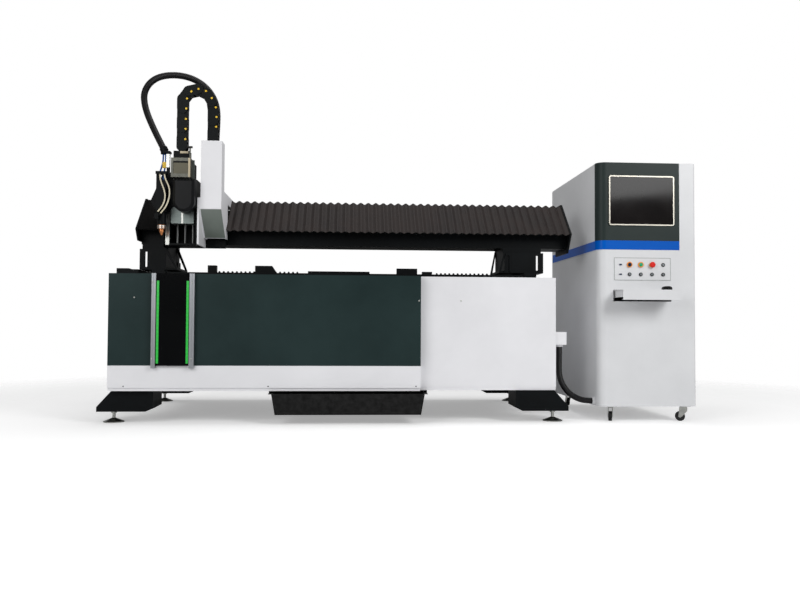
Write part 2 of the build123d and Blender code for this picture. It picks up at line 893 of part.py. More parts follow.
def cover_profile(inset):
    slope = math.atan2(bulge_bottom - skirt_z, skirt_y - cover_front)
    run_in = inset / math.sin(slope)
    return [
        (cover_front + inset, bulge_bottom + inset * 0.4), (cover_front + inset, box_top - inset),
        (box_back - inset, box_top - inset), (box_back - inset, saddle_cover_top - inset),
        (cover_back + (1 if inset else 0), saddle_cover_top - inset),
        (cover_back + (1 if inset else 0), skirt_z - (1 if inset else 0)),
        (skirt_y + run_in, skirt_z - (1 if inset else 0)),
    ]


with BuildPart() as cover:
    with BuildSketch(side_on(box_left)):
        Polygon(*cover_profile(0), align=None)
    extrude(amount=carriage_right - box_left)
    with BuildSketch(side_on(box_left + sheet)):
        Polygon(*cover_profile(sheet), align=None)
    extrude(amount=carriage_right - box_left - sheet - flange_sheet, mode=Mode.SUBTRACT)
    with BuildSketch(side_on(cover_left)):
        Polygon((cover_front, carriage_bottom + 1), (cover_front, bulge_bottom + 70),
                (cover_back, bulge_bottom + 70),
                (cover_back, carriage_bottom + 1), align=None)
    extrude(amount=cover_wall_right - cover_left)
    bar((cover_wall_right, cover_front, bulge_bottom + 20),
        (box_left + 1, cover_front + sheet, bulge_bottom + 70))
    bar((cover_wall_right, cover_back - sheet, skirt_z), (box_left + 1, cover_back, bulge_bottom + 70))
    with BuildSketch(side_on(cover_wall_right)):
        Polygon((skirt_y, skirt_z), (cover_front, bulge_bottom), (cover_front, bulge_bottom + 22),
                (skirt_y + sheet, skirt_z), align=None)
    extrude(amount=box_left - cover_wall_right)
    with BuildSketch(side_on(carriage_right - flange_sheet)):
        Polygon((cover_back - 10, skirt_z), (cover_back - 10, saddle_cover_top),
                (front + 525, saddle_cover_top),
                (front + 525, 1190), *arch_inner[:3], (face_plate_front + face_plate, skirt_z), align=None)
    extrude(amount=flange_sheet)
    bar((box_left + 14, front - 36, box_top - sheet - 1), (carriage_right - 14, front + 46, box_top + 1),
        Mode.SUBTRACT)
    with BuildSketch(Plane.XY.offset(saddle_cover_top - 1)):
        with Locations((bed_left + 640, front + 108)):
            Circle(hose_radius + 6)
    extrude(amount=gland_height + 1)
save(cover.part, "carriage_cover")


# Head slide: channel with end plates and guide rods, its motor, and two end-of-travel sensors
def head_slide():
    back_y = face_plate_front - clear
    wall_left = slide_left + 25
    wall_right = slide_right - 10
    with BuildPart() as channel:
        bar((slide_left, slide_front, carriage_bottom), (slide_right, back_y, slide_top))
        bar((wall_left, slide_front - 1, carriage_bottom + slide_end),
            (wall_right, back_y - 18, slide_top - slide_end),
            Mode.SUBTRACT)
    pieces = [channel.part]
    for x in slide_rods:
        with BuildPart() as rod:
            with BuildSketch(Plane.XY.offset(carriage_bottom + slide_end + clear)):
                with Locations((x, rod_y)):
                    Circle(guide_rod_radius)
            extrude(amount=slide_top - carriage_bottom - 2 * (slide_end + clear))
        pieces.append(rod.part)
    motor_y = (slide_front + back_y) / 2
    with BuildPart() as motor:
        with BuildSketch(Plane.XY.offset(slide_top + clear)):
            with Locations((screw_x, motor_y + 38)):
                RectangleRounded(86, 86, 8)
        extrude(amount=120)
    pieces.append(motor.part)
    for z_low in (carriage_bottom + 50, slide_top - 40):
        pieces.append(single_bar((slide_right - 8, slide_front - clear - 22, z_low),
                                 (slide_right + 1, slide_front - clear, z_low + 26)))
    return pieces


save(group("head_slide", head_slide()), "head_slide")

# Ball screw between the slide's end plates
with BuildPart() as ball_screw:
    with BuildSketch(Plane.XY.offset(carriage_bottom + slide_end + clear)):
        with Locations((screw_x, rod_y)):
            Circle(screw_radius)
    extrude(amount=slide_top - carriage_bottom - 2 * (slide_end + clear))
save(ball_screw.part, "ball_screw")

# Head plate: bright slide block on the rods, with the plate that carries the head
with BuildPart() as head_plate:
    bar((head_plate_left, head_plate_front, head_block_bottom),
        (head_plate_right, front + 100, head_block_top))
    bar((head_plate_left, head_plate_front, head_block_bottom), (head_plate_right, front + 6, head_top))
    with BuildSketch(Plane.XY.offset(head_block_bottom - 1)):
        with Locations(*[(x, rod_y) for x in slide_rods]):
            Circle(guide_rod_radius + clear)
        with Locations((screw_x, rod_y)):
            Circle(screw_radius + clear)
    extrude(amount=head_block_top - head_block_bottom + 2, mode=Mode.SUBTRACT)
save(head_plate.part, "head_plate")

# Routes of the hoses and cables, in order, from the bed's front left corner
def on_bed(points):
    return [(bed_left + x, front + y, z) for x, y, z in points]


socket_x = bed_left + 331
socket_y = front + 19
socket_bottom = 1712
main_hose_points = on_bed([
    (320, 20, 1752), (283, 23.5, 1822), (242, 28, 1907), (213, 33, 1974), (194, 37, 2039),
    (188.5, 41, 2101),
    (209.8, 46, 2159.5), (253, 51, 2204), (311, 56, 2227.7), (378, 62, 2236), (445, 68, 2230),
    (505, 74, 2211),
    (560, 80, 2178), (604, 86, 2131), (634, 92, 2073), (646, 97, 2005), (644, 101, 1930), (640, 104, 1850),
    (637, 106, 1768), (636, 107.5, 1686), (638, 108, 1610), (640, 108, 1545),
    (640, 108, saddle_cover_top + gland_height + 0.2),
])
gas_radius = 4.5
gas_points = [
    on_bed([(330, -97, 1562.8), (330, -97, 1546), (334.5, -97, 1522), (345, -98, 1495), (357, -99, 1466),
            (364, -100, 1434), (362.5, -100, 1402), (353, -99.5, 1375), (337, -98, 1348),
            (320, -98, 1328)]),
    on_bed([(358, -97, 1562.8), (358.5, -97, 1546), (368, -97, 1522), (381, -98, 1497), (390, -99, 1468),
            (391, -100, 1436), (386.5, -100, 1404), (375, -99.5, 1372), (358, -98, 1343),
            (337, -98, 1318)]),
]
cable_radius = 5
cable_points = [
    on_bed([(322, 19, 1711.8), (322, 19, 1686), (321, 13, 1658), (318.5, 1, 1632), (315.5, -14, 1607),
            (313.5, -27, 1590), (312.7, -38, 1571), (312.5, -45, 1551), (312.5, -45, 1530.2)]),
    on_bed([(337.5, 19, 1711.8), (337.5, 19, 1686), (338, 13, 1658), (338.5, 1, 1632), (339, -14, 1607),
            (339, -27, 1590), (338.7, -38, 1571), (338.5, -45, 1551), (338.5, -45, 1530.2)]),
]


# A round socket for a hose that runs from one point to its end, added to the part being built
def fitting(before, end, radius, length):
    along = (Vector(*end) - Vector(*before)).normalized()
    with BuildSketch(Plane(origin=Vector(*end) + along * 0.2, z_dir=along)) as mouth:
        Circle(radius)
    extrude(mouth.sketch, amount=length)


# Cutting head: black bracket, head body, and the connector box over the drive block
bracket_back = head_plate_front - clear
bracket_front = bracket_back - 12
bracket_top = 1589


connector_height = 52.9


def cutting_head():
    bracket = front_plate([
        (bed_left + 258, 1395), (bed_left + 300, 1335), (bed_left + 370, 1335), (bed_left + 391, 1372),
        (head_plate_right - 4, 1372), (head_plate_right - 4, 1545), (bed_left + 388, 1545),
        (bed_left + 388, bracket_top), (bed_left + 332, bracket_top), (bed_left + 258, 1414),
    ], bracket_front, bracket_back)
    body_back = bracket_front - clear
    with BuildPart() as body:
        bar((nozzle_x - 31, nozzle_y - 31, 1330), (nozzle_x + 31, body_back, 1530))
        with BuildSketch(Plane.XY.offset(nozzle_top)):
            with Locations((nozzle_x, nozzle_y)):
                Circle(27)
        extrude(amount=1330 - nozzle_top)
        bar((nozzle_x - 31, nozzle_y - 31, 1529), (nozzle_x - 17, nozzle_y - 7, 1580))
        bar((nozzle_x - 31, nozzle_y - 52, 1563), (bed_left + 371, nozzle_y - 7, 1580))
        bar((nozzle_x - 34, nozzle_y - 52, 1282), (nozzle_x - 10, nozzle_y - 21, 1318))
        for points in gas_points:
            fitting(points[-2], points[-1], gas_radius + 2, 16)
    box_z = head_top + clear
    connector = single_bar((bed_left + 396, front - 30, box_z),
                           (bed_left + 494, front + 40, box_z + connector_height))
    return [bracket, body.part, connector, hose_holder()]


# Post with an elbow socket that carries the end of the main hose
def hose_holder():
    arm_left = bed_left + 352
    arm_right = arm_left + 20
    with BuildPart() as holder:
        bar((arm_left, bracket_front, bracket_top + clear), (arm_right, bracket_back, socket_bottom + 14))
        bar((socket_x, bracket_front, socket_bottom + 2), (arm_right, socket_y + 12, socket_bottom + 14))
        with BuildSketch(Plane.XY.offset(socket_bottom)):
            with Locations((socket_x, socket_y)):
                Circle(hose_radius + 4)
        extrude(amount=20)
        fitting(main_hose_points[1], main_hose_points[0], hose_radius + 4, 24)
    return holder.part


save(group("cutting_head", cutting_head()), "cutting_head")

# Nozzle: bright ring, ceramic and brass cone with its bore
with BuildPart() as nozzle:
    with BuildSketch(facing(nozzle_y)):
        Polygon((nozzle_x + 1.5, nozzle_tip), (nozzle_x + 4, nozzle_tip), (nozzle_x + 16, 1210),
                (nozzle_x + 16, 1225), (nozzle_x + 27.5, 1225), (nozzle_x + 27.5, nozzle_top - clear),
                (nozzle_x + 1.5, nozzle_top - clear), align=None)
    revolve(axis=Axis((nozzle_x, nozzle_y, 0), (0, 0, 1)))
save(nozzle.part, "nozzle")

# Round-bottomed drive housing in front of the head plate
housing_radius = 65.5
housing_x = bed_left + 480
housing_low = 1328
housing_top = 1534
housing_front = front - 125
with BuildPart() as drive_housing:
    with BuildSketch(facing(bracket_front - clear)):
        with BuildLine():
            Line((housing_x - housing_radius, housing_low + housing_radius),
                 (housing_x - housing_radius, housing_top))
            Line((housing_x - housing_radius, housing_top), (housing_x + housing_radius, housing_top))
            Line((housing_x + housing_radius, housing_top),
                 (housing_x + housing_radius, housing_low + housing_radius))
            ThreePointArc((housing_x + housing_radius, housing_low + housing_radius),
                          (housing_x, housing_low),
                          (housing_x - housing_radius, housing_low + housing_radius))
        make_face()
    extrude(amount=(bracket_front - clear) - housing_front)
    chamfer(drive_housing.faces().sort_by(Axis.Y)[0].edges(), 16)
save(drive_housing.part, "drive_housing")

# Drive block above the housing, with its T-shaped locking knob
block_left = bed_left + 391
block_right = bed_left + 511
block_front = front - 75
knob_x = bed_left + 504
with BuildPart() as drive_block:
    bar((block_left, block_front, 1550), (block_right, head_plate_front - clear, head_top))
    bar((block_left + 14, block_front - 1, 1572), (block_right - 14, block_front + 6, head_top - 20),
        Mode.SUBTRACT)
    with BuildSketch(Plane.XY.offset(head_top)):
        with Locations((knob_x, front - 55)):
            Circle(5)
    extrude(amount=70)
    bar((knob_x - 15, front - 61, head_top + 66), (knob_x + 15, front - 49, head_top + 77))
save(drive_block.part, "drive_block")


# Drag chain: links of plates and cross bars between pins; every other link sits inside
link_pitch = 62
link_half_height = 33
link_layer = 6
chain_x = bed_left + 445
chain_y = front + 5
chain_start = 1749.5
straight_links = 5
bend_turns = (36, 76, 116, 150, 172)
down_links = 5


def chain_pins():
    turns = [0] * straight_links + list(bend_turns) + [180] * down_links
    pins = [(chain_x, chain_start)]
    for turn in turns:
        angle = math.radians(turn)
        x, z = pins[-1]
        pins.append((x + link_pitch * math.sin(angle), z + link_pitch * math.cos(angle)))
    return pins


def chain_link(start, end, outer):
    ux, uz = (end[0] - start[0]) / link_pitch, (end[1] - start[1]) / link_pitch
    face = 30 if outer else 30 - link_layer - 0.4
    bar_face = face - link_layer

    def at(along, across):
        return (start[0] + ux * along + uz * across, start[1] + uz * along - ux * across)

    tip = 24
    plate = [(-tip, 10), (-3, link_half_height), (link_pitch + 3, link_half_height), (link_pitch + tip, 10),
             (link_pitch + tip, -10), (link_pitch + 3, -link_half_height), (-3, -link_half_height),
             (-tip, -10)]
    outline = [at(*p) for p in plate]
    with BuildPart() as link:
        for y_low in (chain_y - face, chain_y + face - link_layer):
            with BuildSketch(facing(y_low)):
                Polygon(*outline, align=None)
            extrude(amount=-link_layer)
        for across in (-link_half_height, link_half_height - 5):
            rung = [at(25, across), at(35, across), at(35, across + 5), at(25, across + 5)]
            with BuildSketch(facing(chain_y - bar_face)):
                Polygon(*rung, align=None)
            extrude(amount=-2 * bar_face)
        if outer:
            with BuildSketch(facing(chain_y - face)):
                with Locations(at(0, 0), at(link_pitch, 0)):
                    RegularPolygon(7, 6)
            extrude(amount=1.5)
    return link.part


def drag_chain():
    pins = chain_pins()
    return [chain_link(pins[k], pins[k + 1], k % 2 == 0) for k in range(len(pins) - 1)]


save(group("drag_chain", drag_chain()), "drag_chain")


# Hoses and cables: straight runs joined by tangent arcs, each as large as its runs allow
def corner_radii(points):
    radii = []
    for a, b, c in zip(points, points[1:], points[2:]):
        first, second = Vector(*b) - Vector(*a), Vector(*c) - Vector(*b)
        half_turn = math.radians(first.get_angle(second)) / 2
        radii.append(0.45 * min(first.length, second.length) / math.tan(half_turn))
    return radii


def hose(points, radius, name):
    radii = corner_radii(points)
    with BuildPart() as tube_part:
        with BuildLine() as path:
            FilletPolyline(*points, radius=radii)
        line = path.wires()[0]
        with BuildSketch(Plane(origin=line @ 0, z_dir=line % 0)):
            Circle(radius)
        sweep(path=line)
    ratio = tube_part.part.volume / (math.pi * radius ** 2 * line.length)
    print(name, "length", round(line.length), "least radius", round(min(radii)), "volume ratio",
          round(ratio, 4))
    return tube_part.part


save(hose(main_hose_points, hose_radius, "main_hose"), "main_hose")

# Two gas hoses from the head's upper manifold to its lower port block
save(group("gas_hoses", [hose(points, gas_radius, "gas hose") for points in gas_points]), "gas_hoses")

# Two supply cables from the main hose's socket down to the head
save(group("head_cables", [hose(points, cable_radius, "head cable") for points in cable_points]),
     "head_cables")


# Control cabinet: folded sheet body with a rounded front corner, open at the back
def cabinet_outline(grow):
    with BuildSketch(mode=Mode.PRIVATE) as outline:
        middle = ((cabinet_left + cabinet_right) / 2, (cabinet_front + cabinet_back) / 2)
        with Locations(middle):
            Rectangle(cabinet_width + 2 * grow, cabinet_depth + 2 * grow)
        fillet(outline.vertices().group_by(Axis.Y)[0].sort_by(Axis.X)[0], corner_radius + grow)
        fillet(outline.vertices().group_by(Axis.Y)[0].sort_by(Axis.X)[-1], 12 + grow)
    return outline.sketch


slot_low = shelf_top - shelf_fold - 5
slot_high = shelf_top + 5
caster_places = [
    (x, y)
    for y in (cabinet_front + 75, cabinet_back - 75)
    for x in (cabinet_left + left_caster_inset, cabinet_right - right_caster_inset)
]
caster_plate = 70
with BuildPart() as cabinet_body:
    with BuildSketch(Plane.XY.offset(cabinet_bottom)):
        add(cabinet_outline(0))
    extrude(amount=cabinet_height - cabinet_bottom)
    with BuildSketch(Plane.XY.offset(cabinet_bottom + sheet)):
        add(cabinet_outline(-sheet))
    extrude(amount=cabinet_height - cabinet_bottom - 2 * sheet, mode=Mode.SUBTRACT)
    bar((cabinet_left + 25, cabinet_back - sheet - 1, cabinet_bottom + 25),
        (cabinet_right - 25, cabinet_back + 1, cabinet_height - 25), Mode.SUBTRACT)
    bar((shelf_left - 4, cabinet_front - 1, slot_low), (shelf_right + 4, cabinet_front + sheet + 1,
                                                        slot_high),
        Mode.SUBTRACT)
    for x, y in caster_places:
        bar((x - caster_plate / 2, y - caster_plate / 2, cabinet_bottom - 6),
            (x + caster_plate / 2, y + caster_plate / 2, cabinet_bottom))
    with BuildSketch(side_on(cabinet_left + 1)):
        with Locations(conduit_entry):
            Circle(conduit_radius + 5)
    extrude(amount=-gland_height - 1)
save(cabinet_body.part, "cabinet_body")


# Thin skins outside the body: dark fascia above, blue band below it
def cabinet_skin(z_low, z_high, y_limit, x_limit):
    with BuildPart() as wrap:
        with BuildSketch(Plane.XY.offset(z_low)):
            add(cabinet_outline(clear + skin))
            add(cabinet_outline(clear), mode=Mode.SUBTRACT)
            left = cabinet_left - 10
            low = cabinet_front - 10
            with Locations(((left + x_limit) / 2, (low + y_limit) / 2)):
                Rectangle(x_limit - left, y_limit - low, mode=Mode.INTERSECT)
        extrude(amount=z_high - z_low)
    return wrap.part


skin_right = cabinet_right - column_width
save(cabinet_skin(band_bottom + band_height + clear, cabinet_height, cabinet_front + fascia_left_wrap,
                  skin_right),
     "cabinet_fascia")
save(cabinet_skin(band_bottom, band_bottom + band_height, cabinet_back - 8, skin_right), "blue_band")

# Monitor: rounded frame and black glass
skin_front = cabinet_front - clear - skin
frame_back_y = skin_front - clear
monitor_ring = 8
with BuildPart() as monitor_frame:
    with BuildSketch(facing(frame_back_y)):
        with Locations(screen_middle):
            RectangleRounded(screen_size[0], screen_size[1], 15)
            RectangleRounded(screen_size[0] - 2 * monitor_ring, screen_size[1] - 2 * monitor_ring, 6,
                             mode=Mode.SUBTRACT)
    extrude(amount=9)
save(monitor_frame.part, "monitor_frame")
with BuildPart() as monitor_screen:
    with BuildSketch(facing(frame_back_y)):
        with Locations(screen_middle):
            RectangleRounded(screen_size[0] - 2 * monitor_ring - 2 * clear,
                             screen_size[1] - 2 * monitor_ring - 2 * clear, 6 - clear)
    extrude(amount=6)
save(monitor_screen.part, "monitor_screen")

# Control plate with the fixed collars that the controls work in
plate_back = cabinet_front - clear
plate_front = plate_back - 2
main_controls = [(x, button_rows[0]) for x in button_columns[:3]]
small_controls = [(button_columns[3], button_rows[0])] + [(x, button_rows[1]) for x in button_columns]
with BuildPart() as control_plate:
    with BuildSketch(facing(plate_back)):
        with Locations(((plate_left + plate_right) / 2, (plate_bottom + plate_top) / 2)):
            RectangleRounded(plate_right - plate_left, plate_top - plate_bottom, 4)
    extrude(amount=2)
    with BuildSketch(facing(plate_front)):
        with Locations(*main_controls):
            Circle(bezel_radius)
            Circle(knob_radius + clear, mode=Mode.SUBTRACT)
    extrude(amount=bezel_height)
    with BuildSketch(facing(plate_front)):
        with Locations(*small_controls):
            RegularPolygon(small_radius, 16)
            RegularPolygon(small_knob_radius + clear, 16, mode=Mode.SUBTRACT)
    extrude(amount=small_bezel_height)
    with BuildSketch(facing(plate_front)):
        with Locations(*[(port_x, z) for z in button_rows]):
            Rectangle(20, 12)
    extrude(amount=4)
save(control_plate.part, "control_plate")

# Controls: selector, start button, mushroom stop button, small steel buttons
travel_gap = 3.4
with BuildPart() as selector_switch:
    with BuildSketch(facing(plate_front - clear)):
        with Locations(main_controls[0]):
            Circle(knob_radius)
    extrude(amount=bezel_height + 3)
    bar((main_controls[0][0] - 3.5, plate_front - bezel_height - 15, main_controls[0][1] - 10),
        (main_controls[0][0] + 3.5, plate_front - bezel_height - 2, main_controls[0][1] + 10))
save(selector_switch.part, "selector_switch")

with BuildPart() as start_button:
    with BuildSketch(facing(plate_front - travel_gap)):
        with Locations(main_controls[1]):
            Circle(knob_radius)
    extrude(amount=bezel_height)
save(start_button.part, "start_button")

stop_x, stop_z = main_controls[2]
stop_travel = 5
stop_back = plate_front - bezel_height - stop_travel - clear
with BuildPart() as stop_button:
    with BuildSketch(Plane(origin=(stop_x, plate_front, stop_z), x_dir=(1, 0, 0), z_dir=(0, 0, 1))):
        Polygon((0, stop_back - plate_front - 9), (14, stop_back - plate_front - 9),
                (19, stop_back - plate_front - 4), (19, stop_back - plate_front),
                (knob_radius, stop_back - plate_front), (knob_radius, -stop_travel - clear),
                (0, -stop_travel - clear), align=None)
    revolve(axis=Axis((stop_x, 0, stop_z), (0, 1, 0)))
save(stop_button.part, "stop_button")

for number, (x, z) in enumerate(small_controls, start=1):
    with BuildPart() as small_button:
        with BuildSketch(facing(plate_front - travel_gap)):
            with Locations((x, z)):
                RegularPolygon(small_knob_radius, 16)
        extrude(amount=small_bezel_height - travel_gap + 3)
    save(small_button.part, f"small_button_{number}")

# Pull-out shelf: folded sheet on two slides, with a mouse on it
shelf_front = cabinet_front - tray_pull
shelf_depth = 400
slide_bar = 14
with BuildPart() as mouse_shelf:
    bar((shelf_left, shelf_front, shelf_top - sheet), (shelf_right, shelf_front + shelf_depth, shelf_top))
    bar((shelf_left, shelf_front, shelf_top - shelf_fold), (shelf_right, shelf_front + sheet, shelf_top))
    bar((shelf_left, shelf_front, shelf_top - shelf_fold),
        (shelf_right, shelf_front + 22, shelf_top - shelf_fold + sheet))
    for x_low in (shelf_left + 8, shelf_right - 8 - slide_bar):
        bar((x_low, shelf_front + 10, shelf_top - 46), (x_low + slide_bar, shelf_front + shelf_depth,
                                                        shelf_top - sheet))
save(mouse_shelf.part, "mouse_shelf")

mouse_x = cabinet_left + 420
mouse_y = cabinet_front - 110
with BuildPart() as mouse:
    with BuildSketch(Plane.XY.offset(shelf_top + clear)):
        with Locations((mouse_x, mouse_y)):
            SlotOverall(108, 62, rotation=90)
    extrude(amount=26)
save(mouse.part, "mouse")

# Rear door: folded panel with a row of vents
door_gap = 0.5
door_left = cabinet_left + 3
door_right = cabinet_right - 3
door_low = cabinet_bottom + 4
door_high = cabinet_height - 4
door_front = cabinet_back + door_gap
door_thick = 20
with BuildPart() as rear_door:
    bar((door_left, door_front, door_low), (door_right, door_front + door_thick, door_high))
    bar((door_left + sheet, door_front - 1, door_low + sheet),
        (door_right - sheet, door_front + door_thick - sheet, door_high - sheet), Mode.SUBTRACT)
    with BuildSketch(facing(door_front + door_thick + 1)):
        with GridLocations(0, 45, 1, 6):
            with Locations(((door_left + door_right) / 2, 420)):
                Rectangle(300, 9)
    extrude(amount=door_thick, mode=Mode.SUBTRACT)
    bar((door_right - 58, door_front + door_thick, 900), (door_right - 30, door_front + door_thick + 14,
                                                          1040))
save(rear_door.part, "rear_door")


# What the cabinet holds: laser source, drives on a side plate, computer on a shelf
def cabinet_gear():
    floor = cabinet_bottom + sheet + clear
    wall = cabinet_right - sheet - clear
    deep = cabinet_back - 730
    source = single_bar((cabinet_left + 60, deep, floor), (cabinet_left + 543, deep + 640, floor + 180))
    plate = single_bar((wall - 5, deep, floor + 230), (wall, deep + 600, floor + 1150))
    pieces = [source, plate]
    for k in range(3):
        z = floor + 760
        y = deep + 60 + 170 * k
        pieces.append(single_bar((wall - 5 - clear - 150, y, z), (wall - 5 - clear, y + 90, z + 220)))
    pieces.append(single_bar((wall - 5 - clear - 120, deep + 60, floor + 300),
                             (wall - 5 - clear, deep + 540, floor + 620)))
    guide_top = shelf_top - 46 - clear
    guide_front = cabinet_front + corner_radius
    guide_back = guide_front + 420
    left_edge = cabinet_left + sheet + clear
    pieces.append(single_bar((left_edge, guide_front, guide_top - 12),
                             (shelf_left + 26, guide_back, guide_top)))
    pieces.append(single_bar((shelf_right - 26, guide_front, guide_top - 12),
                             (wall, guide_back, guide_top)))
    return pieces


save(group("cabinet_gear", cabinet_gear()), "cabinet_gear")


# Casters: pressed fork that trails its swivel, and wheel with tyre
def caster_axis(place, angle):
    turn = math.radians(angle)
    return (place[0] + caster_trail * math.cos(turn), place[1] + caster_trail * math.sin(turn))


def caster_fork(place, angle):
    top = cabinet_bottom - 6 - clear
    half = wheel_width / 2 + 1
    plane = Plane(origin=(place[0], place[1], 0),
                  x_dir=(math.cos(math.radians(angle)), math.sin(math.radians(angle)), 0),
                  z_dir=(math.sin(math.radians(angle)), -math.cos(math.radians(angle)), 0))
    crown = wheel_radius * 2 + 4
    cheek = [(-24, crown + 1), (-24, top - 6), (24, top - 6), (caster_trail + 12, wheel_radius - 2),
             (caster_trail, wheel_radius - 10), (caster_trail - 12, wheel_radius - 2)]
    with BuildPart() as fork:
        for side in (-1, 1):
            near = half if side > 0 else -half - 3
            with BuildSketch(plane.offset(near)):
                Polygon(*cheek, align=None)
            extrude(amount=3)
        with BuildSketch(plane.offset(-half - 3)):
            Polygon((-24, top - 9), (24, top - 9), (24, top - 6), (-24, top - 6), align=None)
        extrude(amount=2 * half + 6)
        bar((place[0] - 18, place[1] - 18, top - 6), (place[0] + 18, place[1] + 18, top))
        with BuildSketch(plane.offset(-half - 1)):
            with Locations((caster_trail, wheel_radius)):
                Circle(4)
        extrude(amount=2 * half + 2)
    return fork.part


def caster_wheel(place, angle):
    plane = Plane(origin=(place[0], place[1], 0),
                  x_dir=(math.cos(math.radians(angle)), math.sin(math.radians(angle)), 0),
                  z_dir=(math.sin(math.radians(angle)), -math.cos(math.radians(angle)), 0))
    with BuildPart() as wheel:
        with BuildSketch(plane.offset(-wheel_width / 2)):
            with Locations((caster_trail, wheel_radius)):
                Circle(wheel_radius)
                Circle(4.3, mode=Mode.SUBTRACT)
        extrude(amount=wheel_width)
    return wheel.part


caster_names = ("front_left", "front_right", "rear_left", "rear_right")
caster_angles = (75, 160, 90, 90)
rear_forks = []
for name, place, angle in zip(caster_names, caster_places, caster_angles):
    save(caster_wheel(place, angle), f"{name}_wheel")
    if name.startswith("front"):
        save(caster_fork(place, angle), f"{name}_fork")
    else:
        rear_forks.append(caster_fork(place, angle))
save(group("rear_forks", rear_forks), "rear_forks")

# Junction box on the bed's right end, and the conduit from it to the cabinet
box_x = bed_right + clear
box_low, box_high = 508, 592
with BuildPart() as junction_box:
    bar((box_x, front + 85, box_low), (box_x + 75, front + 175, box_high))
    with BuildSketch(Plane.XY.offset(box_low)):
        with Locations((box_x + 37, front + 130)):
            Circle(conduit_radius + 5)
    extrude(amount=-gland_height)
save(junction_box.part, "junction_box")

conduit_points = [
    (box_x + 37, front + 130, box_low - gland_height - 0.2), (box_x + 37, front + 130, 440),
    (box_x + 35.5, front + 131, 372), (box_x + 37, front + 133, 314.6), (box_x + 51.2, front + 136, 261.7),
    (box_x + 78.6, front + 139, 214.3), (box_x + 117.3, front + 142, 175.6),
    (box_x + 164.7, front + 144, 148.2),
    (cabinet_left - gland_height - 45, conduit_entry[0], conduit_entry[1]),
    (cabinet_left - gland_height - 0.2, conduit_entry[0], conduit_entry[1]),
]
save(hose(conduit_points, conduit_radius, "conduit"), "conduit")
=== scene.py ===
import bpy
import bmesh
import math
from mathutils import Matrix, Vector


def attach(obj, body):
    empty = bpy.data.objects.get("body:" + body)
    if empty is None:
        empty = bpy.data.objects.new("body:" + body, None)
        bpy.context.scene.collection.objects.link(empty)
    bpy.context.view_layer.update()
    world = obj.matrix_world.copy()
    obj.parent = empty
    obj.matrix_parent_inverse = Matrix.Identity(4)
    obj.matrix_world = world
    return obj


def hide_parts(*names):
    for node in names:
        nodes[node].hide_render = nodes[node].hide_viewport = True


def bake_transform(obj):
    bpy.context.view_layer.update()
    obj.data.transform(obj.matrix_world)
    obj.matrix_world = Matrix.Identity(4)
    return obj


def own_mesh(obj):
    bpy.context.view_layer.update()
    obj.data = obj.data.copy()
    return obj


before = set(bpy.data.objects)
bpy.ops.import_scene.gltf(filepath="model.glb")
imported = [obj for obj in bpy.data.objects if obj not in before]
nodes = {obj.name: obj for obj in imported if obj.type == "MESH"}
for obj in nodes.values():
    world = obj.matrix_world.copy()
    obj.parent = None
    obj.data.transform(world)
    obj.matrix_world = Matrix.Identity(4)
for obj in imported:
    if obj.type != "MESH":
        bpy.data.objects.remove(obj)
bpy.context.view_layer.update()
print("model loaded:", len(nodes), "nodes")

# Distances below are in millimetres from the bed's front left corner on the floor
bedCorner = (-1862.5, -765.0)


def place(x, y, z):
    return ((bedCorner[0] + x) / 1000, (bedCorner[1] + y) / 1000, z / 1000)


# Colours and shader nodes
def toLinear(hexColour):
    parts = [int(hexColour[i:i + 2], 16) / 255 for i in (1, 3, 5)]
    linear = [c / 12.92 if c <= 0.04045 else ((c + 0.055) / 1.055) ** 2.4 for c in parts]
    return (*linear, 1.0)


def addNode(tree, kind, settings=None, links=None):
    node = tree.nodes.new(kind)
    for key, value in (settings or {}).items():
        if key in node.inputs:
            node.inputs[key].default_value = value
        else:
            setattr(node, key, value)
    for key, (source, output) in (links or {}).items():
        tree.links.new(source.outputs[output], node.inputs[key])
    return node


# Scale of a pattern that repeats once in so many millimetres
def perMetre(millimetres):
    return 1000 / millimetres


# A wave node repeats every 2 pi / 20 of its scaled space
def waveScale(millimetres):
    return perMetre(millimetres) / 20 * 2 * math.pi


def newMaterial(name, shader):
    material = bpy.data.materials.new(name)
    material.use_nodes = True
    tree = material.node_tree
    tree.nodes.clear()
    surface = addNode(tree, "ShaderNodeBsdfPrincipled", shader)
    addNode(tree, "ShaderNodeOutputMaterial", {}, {"Surface": (surface, "BSDF")})
    return material, tree, surface


def setStops(ramp, stops):
    elements = ramp.color_ramp.elements
    while len(elements) < len(stops):
        elements.new(0.5)
    for element, (position, colour) in zip(elements, stops):
        element.position = position
        element.color = toLinear(colour)


